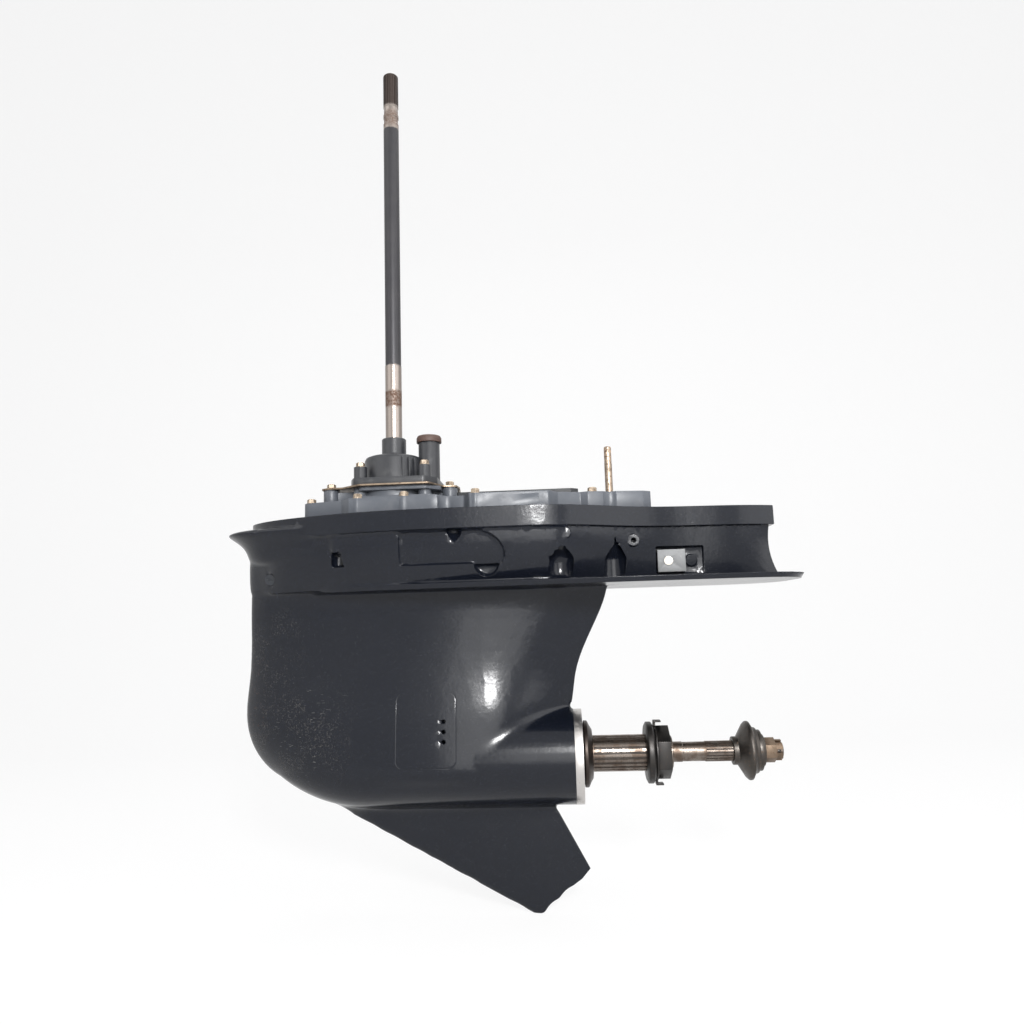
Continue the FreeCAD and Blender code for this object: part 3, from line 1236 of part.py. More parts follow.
def link_solid():
    """A cranked link that bows to starboard round the driveshaft housing."""
    rear = (float(size.shift_station), float(size.lever_length))
    front = (float(size.rod_station), float(size.crank_offset) + float(size.lever_length))
    bow = float(size.link_bow)
    path = [rear, (190.0, bow - 4), (70.0, bow), (-20.0, bow), front]
    half = 4.0
    solid = None
    for start, end in zip(path[:-1], path[1:]):
        run = FreeCAD.Vector(end[0] - start[0], end[1] - start[1], 0)
        side = FreeCAD.Vector(-run.y, run.x, 0).normalize() * half
        a, b = vector(start[0], start[1], link_low), vector(end[0], end[1], link_low)
        outline = polygon_face([a + side, b + side, b - side, a - side])
        bar = outline.extrude(vector(0, 0, size.lever_thickness))
        knee = Part.makeCylinder(half, float(size.lever_thickness), b)
        solid = bar.fuse(knee) if solid is None else solid.fuse([bar, knee])
    for x, y in (front, rear):
        solid = solid.fuse(Part.makeCylinder(eye, float(size.lever_thickness), vector(x, y, link_low)))
    for x, y in (front, rear):
        solid = solid.cut(Part.makeCylinder(pin + float(clearance), 20, vector(x, y, 0)))
    return solid.removeSplitter()


keep("shift_link", shaped("link", link_solid()))
keep("lower_rod_bush", ring("rod_bush", "Z", -13.8, -0.5, size.rod_radius + clearance, size.rod_radius + 4))
nodes["lower_rod_bush"].setExpression("Placement.Base.x", size.rod_station.text)
nodes["lower_rod_bush"].setExpression("Placement.Base.y", size.crank_offset.text)
shift_bushes = []
for place, low, high in (("lower", -11.8, length(-0.5)),
                         ("upper", cover_top - size.cover_wall, cover_top + 1.5)):
    bush = ring(f"shift_bush_{place}", "Z", low, high, size.shift_radius + clearance, size.shift_radius + 3)
    bush.setExpression("Placement.Base.x", size.shift_station.text)
    shift_bushes.append(bush)
keep("shift_shaft_bushes", fused("shift_bush_group", shift_bushes))


# Cover plate, gasket and their bolts

def slab(name, points, low, high, corner=0.0):
    """A flat plate with straight sides, its upright edges rounded."""
    body = doc.addObject("PartDesign::Body", name)
    sketch = polygon_sketch(body, f"{name}_outline", "XY_Plane", points, low)
    pad = body.newObject("PartDesign::Pad", f"{name}_pad")
    pad.Profile = sketch
    pad.setExpression("Length", (length(high) - length(low)).text)
    sketch.Visibility = False
    if corner:
        doc.recompute()
        upright = [f"Edge{number}" for number, edge in enumerate(pad.Shape.Edges, start=1)
                   if abs(edge.tangentAt(edge.FirstParameter).z) > 0.99]
        round_edges = body.newObject("PartDesign::Fillet", f"{name}_corners")
        round_edges.Base = (pad, upright)
        round_edges.Radius = corner
    return body


def both_sides(points):
    """A closed outline from its port half, given from the front aft."""
    return [*points, *[(x, -y) for x, y in reversed(points)]]


cover_half = size.cover_width / 2
port_edge = [
    (size.cover_front, -0.36 * cover_half), (size.cover_front + 5, -0.56 * cover_half),
    (-56.0, -0.73 * cover_half), (-44.0, -0.91 * cover_half), (58.0, -cover_half + 1),
    (70.0, -cover_half + 1), (78.0, -0.76 * cover_half), (99.0, -0.76 * cover_half),
    (107.0, -cover_half), (204.0, -0.95 * cover_half), (215.0, -0.76 * cover_half),
    (243.0, -0.64 * cover_half), (252.0, -0.69 * cover_half), (290.0, -0.60 * cover_half),
    (size.cover_rear - 14, -0.53 * cover_half), (size.cover_rear - 4, -0.44 * cover_half),
]
starboard_front = [(-56.0, 0.80 * cover_half), (size.cover_front + 8, 0.70 * cover_half),
                   (size.cover_front, 0.58 * cover_half)]
cover_points = [*port_edge, *[(x, -y) for x, y in reversed(port_edge[3:])], *starboard_front]
link_room = [
    (-104.5, -5.0), (-104.5, 36.0), (-94.0, 43.5), (-60.0, 51.0), (100.0, 51.0), (200.0, 43.0),
    (303.5, 33.0),
    (303.5, -12.0),
    (262.0, -12.0), (215.0, 12.0), (60.0, 20.0), (-60.0, -5.0),
]
cover_bolt_places = []
for x, y in ((-34.0, 60.0), (25.0, 64.0), (114.0, 66.0)):
    cover_bolt_places += [(x, -y), (x, y)]
cover_bolt_places += [(-101.0, -32.0), (-101.0, 46.0), (258.0, -40.0), (258.0, 44.0)]
lobe = 8.5


def holes(name, places, radius, low, high):
    return [cylinder(f"{name}_{number}", radius, low, high, "Z", place)
            for number, place in enumerate(places, start=1)]


def flange_scallops(name, low, high):
    places = [(station, sign * across) for station, across in
              ((size.flange_hole_station, size.flange_hole_side),
               (size.front_hole_station, size.front_hole_side),
               (size.middle_pocket_station, size.middle_pocket_side),
               (size.rear_pocket_station, size.rear_pocket_side))
              for sign in (-1, 1)]
    return holes(name, places, 13.0, low, high)


def cover_ribs():
    """The raised channel along the top and the raised panels on the upright sides."""
    ribs = [slab("cover_channel", [(87.0, -12.0), (87.0, -33.0), (232.0, -33.0), (241.0, -26.0),
                                   (241.0, -12.0)],
                 cover_top - 1, cover_top + 8, 3.0)]
    for sign in (-1, 1):
        face = sign * (cover_half - 3.4)
        ribs.append(box(f"cover_panel_{sign}", (114.0, face - 2 if sign < 0 else face - 3, gasket_top + 4),
                        (192.0, face + 3 if sign < 0 else face + 2, cover_top - 3)))
    return ribs


spigot = size.upper_bearing_radius - 0.1
for name, low, high, top in (("cover_gasket", -size.cover_seat_depth, gasket_top, gasket_top),
                             ("cover_plate", gasket_top, cover_top, cover_top - size.cover_wall)):
    parts = [slab(f"{name}_slab", cover_points, low, high, 3.0),
             *holes(f"{name}_lobe", cover_bolt_places, lobe, low, high)]
    if name == "cover_plate":
        parts += cover_ribs()
    blank = fused(f"{name}_blank", parts)
    tools = [
        slab(f"{name}_link_room", link_room, low - 1, top if name == "cover_plate" else high + 1),
        cylinder(f"{name}_spigot_hole", size.upper_bearing_radius, -3.0, cover_top + 1),
        cylinder(f"{name}_water_hole", size.gallery_radius, -3.0, cover_top + 1, "Z",
                 (size.inlet_station, -6.0)),
        cylinder(f"{name}_shift_hole", size.shift_radius + 3, -3.0, cover_top + 1, "Z",
                 (size.shift_station, 0)),
        *holes(f"{name}_bolt_hole", cover_bolt_places, size.bolt_radius, -3.0, cover_top + 1),
        *flange_scallops(f"{name}_scallop", -3.0, cover_top + 1),
    ]
    keep(name, cut(f"{name}_cut", blank, tools))


def cover_seat():
    """The shallow seat that the gasket lies in, a little wider than the gasket."""
    underside = max((face for face in nodes["cover_gasket"].Shape.Faces
                     if abs(face.CenterOfMass.z + float(size.cover_seat_depth)) < 1e-6),
                    key=lambda face: face.Area)
    return Part.Face(underside.OuterWire).makeOffset2D(0.8).extrude(vector(0, 0, size.cover_seat_depth + 5))


doc.recompute()
keep("gearcase_housing", cut("housing", bored_case, [shaped("cover_seat", cover_seat())]))


def bolt_group(name, places, seat, reach):
    """Hexagon flange bolts that stand on one level, joined into one group of separate solids."""
    radius, flats = float(size.bolt_radius), float(size.bolt_flats)
    bolts = []
    for x, y in places:
        shank = Part.makeCylinder(radius, float(reach), vector(x, y, float(seat) - float(reach)))
        flange = Part.makeCylinder(flats * 0.68, 1.4, vector(x, y, seat))
        corner = flats / math.sqrt(3)
        points = [vector(float(x) + corner * math.cos(math.radians(60 * k)),
                         float(y) + corner * math.sin(math.radians(60 * k)), float(seat) + 1.4)
                  for k in range(6)]
        head = polygon_face(points).extrude(FreeCAD.Vector(0, 0, 5))
        bolts.append(shank.fuse([flange, head]).removeSplitter())
    return keep(name, shaped(f"{name}_group", Part.makeCompound(bolts)))


bolt_group("cover_bolts", cover_bolt_places, cover_top, cover_top + size.cover_seat_depth)


# Seal carrier, wear plate, water pump

carrier_top = cover_top + size.seal_carrier_height
plate_top = carrier_top + size.wear_plate_thickness
base_low = plate_top
base_top = base_low + size.pump_base_height
cup_top = base_top + size.cup_height
neck_top = cup_top + size.neck_height
seal_bore = size.driveshaft_radius + 5
ear_places = [(-78.0, -22.0), (75.0, -9.0), (72.0, 34.0)]
tower_places = [(x, y) for x in (-37.0, 46.0) for y in (-33.0, 33.0)]
carrier_drum = turned("seal_carrier_drum", "Z", [
    (size.upper_bearing_top, size.driveshaft_radius + 3), (size.upper_bearing_top, spigot),
    (cover_top, spigot),
    (cover_top, 44.0), (carrier_top, 44.0), (carrier_top, seal_bore), (cover_top, seal_bore),
    (cover_top, size.driveshaft_radius + 3),
])
carrier_points = both_sides([(-46.0, -30.0), (-34.0, -47.0), (50.0, -47.0), (66.0, -30.0)])
carrier_webs = [box(f"carrier_web_{number}", (min(x, 0.0), y - 3, cover_top),
                    (max(x, 0.0), y + 3, carrier_top - 3))
                for number, (x, y) in enumerate(ear_places, start=1)]
carrier_foot = slab("seal_carrier_foot",
                    both_sides([(-52.0, -30.0), (-40.0, -50.0), (56.0, -50.0), (72.0, -30.0)]),
                    cover_top, cover_top + 5, 5.0)
seal_carrier_blank = fused("seal_carrier_blank", [
    carrier_drum, carrier_foot,
    slab("seal_carrier_head", carrier_points, carrier_top - 5, carrier_top, 6.0),
    *carrier_webs, *holes("carrier_ear", ear_places, 10.0, cover_top, carrier_top),
    *holes("carrier_post", tower_places, 8.5, cover_top, carrier_top),
])
water_way = (size.inlet_station - 14, -6.0)
keep("seal_carrier", cut("seal_carrier_cut", seal_carrier_blank, [
    cylinder("carrier_shaft_bore", size.driveshaft_radius + 3, size.upper_bearing_top - 1, carrier_top + 1),
    cylinder("carrier_seal_bore", seal_bore, cover_top, carrier_top + 1),
    cylinder("carrier_water_way", 5.0, cover_top - 1, carrier_top + 1, "Z", water_way),
    *holes("carrier_bolt_hole", [*ear_places, *tower_places], size.bolt_radius, cover_top + 2,
           carrier_top + 1),
]))
keep("driveshaft_oil_seals", fused("oil_seal_group", [
    ring(f"oil_seal_{number}", "Z", low, low + 7, size.driveshaft_radius + clearance, seal_bore)
    for number, low in enumerate((cover_top + 1, cover_top + 9), start=1)]))
plate_points = [
    (-89.0, -15.0), (-89.0, -29.0), (-80.0, -34.0), (-60.0, -35.0), (-34.0, -54.0), (54.0, -54.0),
    (68.0, -22.0), (85.0, -18.0),
    (87.0, 0.0), (83.0, 42.0), (66.0, 46.0), (52.0, 54.0), (-34.0, 54.0), (-64.0, 18.0),
]
wear_plate = slab("wear_plate_slab", plate_points, carrier_top, plate_top, 4.0)
keep("pump_wear_plate", cut("wear_plate_cut", wear_plate, [
    cylinder("plate_shaft_hole", size.driveshaft_radius + 3, carrier_top - 1, plate_top + 1),
    cylinder("plate_water_hole", 5.0, carrier_top - 1, plate_top + 1, "Z", water_way),
    *holes("plate_bolt_hole", [*ear_places, *tower_places], size.bolt_radius, carrier_top - 1,
           plate_top + 1),
]))
pump_outer = turned("pump_outer", "Z", [
    (base_low, 0.0), (base_low, size.cup_radius), (cup_top - 5, size.cup_radius),
    (cup_top - 1.5, size.cup_radius - 1.5),
    (cup_top, size.cup_radius - 5), (cup_top, size.neck_radius + 4), (cup_top + 2, size.neck_radius + 1),
    (cup_top + 6, size.neck_radius), (neck_top - 1, size.neck_radius), (neck_top, size.neck_radius - 1),
    (neck_top, 0.0),
])
pump_base = slab("pump_base", both_sides([(-50.0, -30.0), (-42.0, -49.0), (48.0, -49.0), (62.0, -30.0)]),
                 base_low, base_top, 6.0)
outlet_top = base_top + size.outlet_height


def cup_ribs():
    """Upright ribs on the cup, on the side of the outlet."""
    ribs = []
    for number, angle in enumerate((-62, -50, -38), start=1):
        rib = Part.makeBox(6.0, 2.6, float(size.cup_height - 4),
                           vector(float(size.cup_radius) - 3, -1.3, base_top - 1))
        rib.rotate(FreeCAD.Vector(), FreeCAD.Vector(0, 0, 1), angle)
        ribs.append(shaped(f"cup_rib_{number}", rib))
    return ribs


pump_blank = fused("pump_blank", [
    pump_outer, pump_base, *cup_ribs(), *holes("pump_tower", tower_places, 8.5, base_low, base_top + 16),
    cylinder("outlet_tube", size.outlet_radius, base_low, outlet_top, "Z", (size.outlet_station, 0)),
])
liner_outer = size.pump_liner_radius + 3
chamber_top = cup_top - 6
keep("pump_housing", cut("pump_housing_cut", pump_blank, [
    cylinder("pump_chamber", liner_outer, base_low - 1, chamber_top),
    cylinder("pump_shaft_hole", size.driveshaft_radius + 2, base_low - 1, neck_top + 1),
    cylinder("outlet_passage", size.outlet_bore, base_top + 6, outlet_top + 1, "Z",
             (size.outlet_station, 0)),
    cylinder("outlet_port", 6.0, 20.0, size.outlet_station, "X", (0, base_top + 14)),
    *holes("pump_bolt_hole", tower_places, size.bolt_radius, base_low - 1, base_top + 20),
]))
liner_blank = turned("liner_blank", "Z", [
    (base_low, 0.0), (base_low, liner_outer), (chamber_top, liner_outer), (chamber_top, 0.0)])
keep("pump_liner", cut("liner_cut", liner_blank, [
    cylinder("liner_bore", size.pump_liner_radius + 0.4, base_low - 1, chamber_top - 2, "Z", (1.2, 0)),
    cylinder("liner_shaft_hole", size.driveshaft_radius + 2, base_low - 1, chamber_top + 1),
    cylinder("liner_port", 5.5, 20.0, size.outlet_station, "X", (0, base_top + 14)),
]))
keep("pump_neck_seal", ring("neck_seal", "Z", neck_top - 9, neck_top - 2,
                            size.driveshaft_radius + clearance,
                            size.driveshaft_radius + 2))
grommet = turned("grommet", "Z", [
    (outlet_top - 7, size.outlet_radius), (outlet_top - 7, size.outlet_radius + 2.5),
    (outlet_top - 1, size.outlet_radius + 2.5), (outlet_top + 2, size.outlet_radius + 1),
    (outlet_top + 2, size.outlet_bore), (outlet_top, size.outlet_bore), (outlet_top, size.outlet_radius),
])
grommet.setExpression("Placement.Base.x", size.outlet_station.text)
keep("outlet_grommet", grommet)
bolt_group("pump_bolts", tower_places, base_top + 16,
           size.pump_base_height + 16 + size.wear_plate_thickness + 14)
bolt_group("plate_bolts", ear_places, plate_top, size.wear_plate_thickness + 14)


# Trim anodes, their screws, and the oil plugs

anode_low = shaft_level + size.plate_rise + ANODE_RAISE
blocks, screws = [], []
for side, sign in (("port", -1), ("starboard", 1)):
    inner_face, outer_face = ANODE_FLOOR, ANODE_FLOOR + size.anode_thickness
    low = inner_face if sign > 0 else -outer_face
    high = outer_face if sign > 0 else -inner_face
    block = box(f"anode_block_{side}", (size.anode_station - size.anode_length / 2, low, anode_low),
                (size.anode_station + size.anode_length / 2, high, anode_low + size.anode_height))
    place = (size.anode_station - 4, anode_low + size.anode_height / 2)
    bore = cylinder(f"anode_hole_{side}", 3.0, length(low) - 2, length(high) + 2, "Y", place)
    keep(f"anode_{side}", cut(f"anode_cut_{side}", block, [bore]))
    deep = (ANODE_FLOOR - 8.0) * sign
    proud = (float(outer_face) + 1.2) * sign
    face = float(outer_face) * sign
    screws.append(cylinder(f"anode_screw_{side}", 3.0, min(deep, proud), max(deep, proud), "Y", place))
    screws.append(cylinder(f"anode_screw_head_{side}", 5.4, min(face, proud), max(face, proud), "Y", place))
keep("anode_screws", fused("anode_screw_group", screws))


# Write every node

doc.recompute()
problems = [item.Name for item in doc.Objects if "Invalid" in item.State or "Error" in item.State]
if problems:
    raise RuntimeError(f"these objects failed: {problems}")
for name, item in nodes.items():
    if item.Shape.isNull() or not item.Shape.isValid():
        raise RuntimeError(f"{name} has no valid shape")
os.makedirs("parts", exist_ok=True)
for name, item in nodes.items():
    item.Shape.exportStep(f"parts/{name}.step")
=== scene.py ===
"""Outboard lower unit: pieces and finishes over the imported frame."""

import math

import bmesh
import bpy
import numpy as np
from mathutils import Matrix, Vector
from mathutils.bvhtree import BVHTree
from mathutils.kdtree import KDTree
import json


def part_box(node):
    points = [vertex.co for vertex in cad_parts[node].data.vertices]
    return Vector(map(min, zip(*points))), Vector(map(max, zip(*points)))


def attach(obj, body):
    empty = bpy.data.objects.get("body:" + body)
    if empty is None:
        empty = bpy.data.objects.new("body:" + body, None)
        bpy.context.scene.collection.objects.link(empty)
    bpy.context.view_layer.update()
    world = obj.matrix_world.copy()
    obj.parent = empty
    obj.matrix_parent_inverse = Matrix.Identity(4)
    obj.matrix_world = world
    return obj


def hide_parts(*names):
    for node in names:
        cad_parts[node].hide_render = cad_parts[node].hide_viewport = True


bl_info = {
    "name": "Outboard Lower Unit",
    "version": (1, 0, 0),
    "blender": (4, 5, 0),
    "location": "View3D > Sidebar > Lower Unit",
    "description": "Builds the pieces and finishes of an outboard lower unit",
    "category": "Object",
}

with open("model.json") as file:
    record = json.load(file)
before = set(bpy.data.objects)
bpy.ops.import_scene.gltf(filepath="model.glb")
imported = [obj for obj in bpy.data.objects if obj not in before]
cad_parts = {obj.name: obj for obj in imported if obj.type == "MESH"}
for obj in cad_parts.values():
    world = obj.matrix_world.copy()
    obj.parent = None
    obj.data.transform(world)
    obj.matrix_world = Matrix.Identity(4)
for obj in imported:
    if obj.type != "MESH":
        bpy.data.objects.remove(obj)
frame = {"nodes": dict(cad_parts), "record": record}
NODES = frame["nodes"]
RECORD = frame["record"]
BODY_OF = {node: body for body, members in RECORD["behaviour"]["bodies"].items() for node in members}
MM = 0.001
SHAFT_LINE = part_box("castle_nut")[0].z / 2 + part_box("castle_nut")[1].z / 2
PAINT_COLOUR = (0.0030, 0.0043, 0.0085)

# Folds of the case, in degrees, and the distance in voxels over which its skin snaps to a crest
CREST_DEGREES, FOLD_DEGREES = 28.0, 14.0
CREST_REACH = 0.9

# Below its top the skeg has blunter crests, and it is spread sideways while its thin skin is woven
SKEG_TOP = SHAFT_LINE - 0.062
SKEG_CREST_DEGREES = 11.0
SKEG_CREST_REACH = 1.6
SKEG_SPREAD = 4.0
SKEG_BLEND = 0.015

# Where the case stays crisp: the carrier's bore, the water scoops and the raked end of the upper body
CARRIER_RADIUS = 0.0500
SCOOPS_X, SCOOPS_HALF = 0.068, 0.012
SCOOPS_RISE = (0.012, 0.064)
UPPER_END_X = 0.2225

# The joins are broad up to this rise over the shaft line and narrow above it
BROAD_RISE, BROAD_BLEND = 0.200, 0.010
RIM_FACE = -0.010

# The rounded pad round the water inlets: its middle, half sizes and corner radius
PAD_X, PAD_RISE = 0.0466, 0.0389
PAD_HALF_X, PAD_HALF_RISE = 0.0268, 0.0345
PAD_CORNER = 0.009

# Start, end, and the radii between which the roots darken, of the outer and the inner shaft's splines
PROPELLER_SPLINES = ((0.2465, 0.311, 0.0216, 0.0206), (0.3845, 0.4455, 0.0121, 0.0113))

CAMERA_PLACE = (0.2152, -1.01826, -0.13499)
CAMERA_YAW, CAMERA_PITCH, CAMERA_ROLL = 0.0593881, 0.1381283, 0.0301141
SENSOR_WIDTH = 36.0

# Name, place, width, height and power of each lamp, and the point that all of them face
LAMPS = (
    ("softbox", (0.46, -1.55, 0.42), 0.22, 0.34, 30.0),
    ("front_panel", (0.55, -2.2, 0.1), 1.3, 1.6, 16.0),
    ("left_panel", (-1.9, -1.6, 1.6), 2.2, 2.0, 16.0),
    ("right_panel", (2.2, -1.2, 1.0), 2.2, 2.4, 26.0),
    ("top_panel", (0.2, 0.3, 1.8), 2.0, 1.6, 26.0),
)
LAMPS_FACE = Vector((0.13, 0.0, -0.15))

# The floor runs back and curves up into the backdrop
FLOOR_FRONT, FLOOR_BACK, FLOOR_HALF = -3.0, 1.3, 4.0
SWEEP_RADIUS, SWEEP_STEPS, BACKDROP_TALL = 0.9, 12, 4.0
BACKDROP_SHARE = 0.86


# Shader maths


class Wire:
    """A shader socket that takes part in Python arithmetic."""

    def __init__(self, finish, socket):
        self.finish = finish
        self.socket = socket

    def __add__(self, other):
        return self.finish.maths("ADD", self, other)

    def __sub__(self, other):
        return self.finish.maths("SUBTRACT", self, other)

    def __rsub__(self, other):
        return self.finish.maths("SUBTRACT", other, self)

    def __mul__(self, other):
        return self.finish.maths("MULTIPLY", self, other)

    __radd__ = __add__
    __rmul__ = __mul__


class Finish:
    """A material whose nodes are built from Python expressions."""

    def __init__(self, name):
        self.material = bpy.data.materials.new(name)
        self.material.use_nodes = True
        self.tree = self.material.node_tree
        self.tree.nodes.clear()
        place = self.node("ShaderNodeTexCoord").outputs["Object"]
        self.place = Wire(self, place)
        parts = self.node("ShaderNodeSeparateXYZ", values={0: self.place})
        self.x, self.y, self.z = (Wire(self, parts.outputs[i]) for i in range(3))

    def node(self, kind, settings=None, values=None):
        made = self.tree.nodes.new(kind)
        for key, value in (settings or {}).items():
            setattr(made, key, value)
        for key, value in (values or {}).items():
            if isinstance(value, Wire):
                self.tree.links.new(value.socket, made.inputs[key])
            else:
                made.inputs[key].default_value = value
        return made

    def maths(self, operation, first, second=0.0):
        made = self.node("ShaderNodeMath", {"operation": operation}, {0: first, 1: second})
        return Wire(self, made.outputs[0])

    def size_of(self, value):
        return self.maths("ABSOLUTE", value)

    def step(self, value, low, high):
        """0 below low, 1 above high, smooth between them; the other way round when low is the larger."""
        made = self.node("ShaderNodeMapRange", {"interpolation_type": "SMOOTHSTEP"},
                         {"Value": value, "From Min": low, "From Max": high})
        return Wire(self, made.outputs["Result"])

    def band(self, value, low, high, soft):
        return self.step(value, low - soft, low + soft) * self.step(value, high + soft, high - soft)

    def stretched(self, scale, shift=(0.0, 0.0, 0.0)):
        values = {"Vector": self.place, "Scale": scale, "Location": shift}
        return Wire(self, self.node("ShaderNodeMapping", values=values).outputs[0])

    def grain(self, scale, detail=4.0, rough=0.55, along=None):
        values = {"Vector": along or self.place, "Scale": scale, "Detail": detail, "Roughness": rough}
        return Wire(self, self.node("ShaderNodeTexNoise", values=values).outputs[0])

    def attribute(self, name):
        return Wire(self, self.node("ShaderNodeAttribute", {"attribute_name": name}).outputs["Fac"])

    def blend(self, factor, first, second):
        made = self.node("ShaderNodeMix", {"data_type": "RGBA"})
        for index, value in ((0, factor), (6, first), (7, second)):
            if isinstance(value, Wire):
                self.tree.links.new(value.socket, made.inputs[index])
            else:
                made.inputs[index].default_value = (*value, 1.0) if index else value
        return Wire(self, made.outputs[2])

    def relief(self, height, distance, under=None):
        values = {"Height": height, "Distance": distance}
        if under:
            values["Normal"] = under
        return Wire(self, self.node("ShaderNodeBump", values=values).outputs[0])

    def rounded(self, radius):
        """The surface normal as if every edge had this radius."""
        return Wire(self, self.node("ShaderNodeBevel", {"samples": 6}, {"Radius": radius}).outputs[0])

    def shade(self, colour, rough, normal, metal=0.0, specular=0.5):
        values = {"Base Color": colour, "Roughness": rough, "Metallic": metal,
                  "Specular IOR Level": specular, "Normal": normal}
        surface = self.node("ShaderNodeBsdfPrincipled", values=values)
        out = self.node("ShaderNodeOutputMaterial")
        self.tree.links.new(surface.outputs[0], out.inputs["Surface"])
        return self.material


def near_point(finish, centre, reach):
    """1 at a point in the part's frame, fading to 0 at the reach."""
    made = finish.node("ShaderNodeVectorMath", {"operation": "DISTANCE"}, {0: finish.place, 1: centre})
    return finish.step(Wire(finish, made.outputs["Value"]), reach, 0.0)


# Finishes


def panel_line(finish, rise):
    """The faint outline of the rounded pad round the water inlets."""
    across = finish.size_of(finish.x - PAD_X) - PAD_HALF_X
    along = finish.size_of(rise - PAD_RISE) - PAD_HALF_RISE
    over_x = finish.maths("MAXIMUM", across, 0.0)
    over_z = finish.maths("MAXIMUM", along, 0.0)
    outside = finish.maths("SQRT", over_x * over_x + over_z * over_z)
    reach = outside + finish.maths("MINIMUM", finish.maths("MAXIMUM", across, along), 0.0)
    on_skin = finish.step(finish.size_of(finish.y), 0.045, 0.052)
    return finish.band(reach, PAD_CORNER - 0.0005, PAD_CORNER + 0.0005, 0.0005) * on_skin


def case_paint():
    """Glossy black-blue paint, scuffed at the nose and chipped along the leading edge."""
    finish = Finish("case_paint")
    colours = bpy.context.scene.lower_unit_paint
    rise = finish.z - SHAFT_LINE
    haze = finish.grain(9.0, 5.0, 0.6)
    specks = finish.step(finish.grain(900.0, 2.0, 0.5), 0.63, 0.74)
    nose = finish.step(finish.x, -0.085, -0.150) * finish.step(rise, 0.215, 0.150)
    nose = nose * finish.step(rise, -0.06, 0.0)
    low_nose = finish.step(finish.x, -0.02, -0.10) * finish.step(rise, 0.11, 0.06)
    low_nose = low_nose * finish.step(rise, -0.05, 0.005)
    worn = finish.maths("MAXIMUM", nose * 0.8, low_nose)
    scuffs = finish.step(finish.grain(420.0, 6.0, 0.75), 0.52, 0.66)
    scuffs = scuffs * finish.step(finish.grain(34.0, 4.0, 0.6), 0.42, 0.58) * worn
    hair = finish.stretched((1.0, 1.0, 7.0), (0.3, 0.1, 0.0))
    scratches = finish.step(finish.grain(160.0, 2.0, 0.4, hair), 0.70, 0.72)
    scratches = scratches * finish.step(finish.grain(14.0), 0.5, 0.6) * (worn * 0.8 + 0.05)
    edge = finish.attribute("edge") * finish.step(finish.grain(230.0, 4.0, 0.7), 0.58, 0.66)
    edge = edge * finish.step(finish.x, -0.150, -0.185) * finish.step(rise, 0.20, 0.05)
    large_chip = near_point(finish, (-0.108, -0.055, SHAFT_LINE + 0.062), 0.0075)
    large_chip = large_chip * finish.step(finish.grain(500.0), 0.45, 0.5)
    small_chip = near_point(finish, (-0.094, -0.057, SHAFT_LINE + 0.045), 0.004)
    chips = finish.maths("MAXIMUM", finish.maths("MAXIMUM", edge, large_chip), small_chip)
    colour = finish.blend(haze * 0.6, tuple(colours.paint), (0.0075, 0.0085, 0.0115))
    colour = finish.blend(specks * 0.16, colour, (0.12, 0.12, 0.12))
    colour = finish.blend(scuffs * 0.55, colour, (0.085, 0.078, 0.070))
    colour = finish.blend(scratches * 0.6, colour, (0.22, 0.22, 0.21))
    colour = finish.blend(chips, colour, (0.33, 0.17, 0.09))
    rough = haze * 0.10 + 0.13 + scuffs * 0.35 + specks * 0.1 + chips * 0.3
    peel = finish.grain(260.0, 2.0, 0.4) * 0.7 + finish.grain(60.0, 2.0, 0.5) * 0.9
    pad = panel_line(finish, rise)
    front_dimple = near_point(finish, (0.0307, -0.087, SHAFT_LINE + 0.2483), 0.006)
    rear_dimple = near_point(finish, (0.161, -0.092, SHAFT_LINE + 0.2452), 0.008)
    dimple = finish.step(finish.maths("MAXIMUM", front_dimple, rear_dimple), 0.05, 0.2)
    relief = peel - scuffs * 0.4 - chips * 0.8 - pad * 1.6 - dimple * 0.8
    normal = finish.relief(relief, 0.00010, under=finish.rounded(0.0013))
    return finish.shade(colour, rough, normal=normal, specular=0.34)


def cover_paint():
    """Satin grey paint of the cover and the seal carrier, dusty in its corners, with painted shade in its
    channel.
    """
    finish = Finish("cover_paint")
    dust = finish.step(finish.grain(55.0, 5.0, 0.65), 0.45, 0.75)
    fine = finish.grain(700.0, 3.0, 0.6)
    colour = finish.blend(dust * 0.5, (0.070, 0.077, 0.090), (0.115, 0.119, 0.129))
    colour = finish.blend(finish.step(fine, 0.66, 0.74) * 0.35, colour, (0.22, 0.22, 0.22))
    # Painted shade: a strip of the cover above its channel floor is coloured near black, standing in for
    # the shade in the channel
    channel_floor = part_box("cover_plate")[1].z - 0.0078
    painted_channel_shade = finish.step(finish.z, channel_floor, channel_floor + 0.0006)
    painted_channel_shade = painted_channel_shade * finish.band(finish.x, 0.085, 0.243, 0.001)
    painted_channel_shade = painted_channel_shade * finish.band(finish.y, -0.0345, -0.0105, 0.0006)
    colour = finish.blend(painted_channel_shade, colour, (0.012, 0.013, 0.015))
    return finish.shade(colour, dust * 0.2 + 0.36, normal=finish.relief(fine, 0.00006), specular=0.4)


def zinc():
    """Dull yellow-brown zinc plating of the bolts."""
    finish = Finish("zinc_plate")
    patch = finish.step(finish.grain(210.0, 4.0, 0.6), 0.40, 0.62)
    rust = finish.step(finish.grain(380.0, 4.0, 0.7), 0.60, 0.72)
    colour = finish.blend(patch, (0.20, 0.155, 0.115), (0.38, 0.31, 0.235))
    colour = finish.blend(rust * 0.8, colour, (0.10, 0.050, 0.025))
    return finish.shade(colour, patch * 0.15 + rust * 0.25 + 0.42, metal=(1.0 - rust) * 0.6,
                        normal=finish.relief(rust, 0.00008))


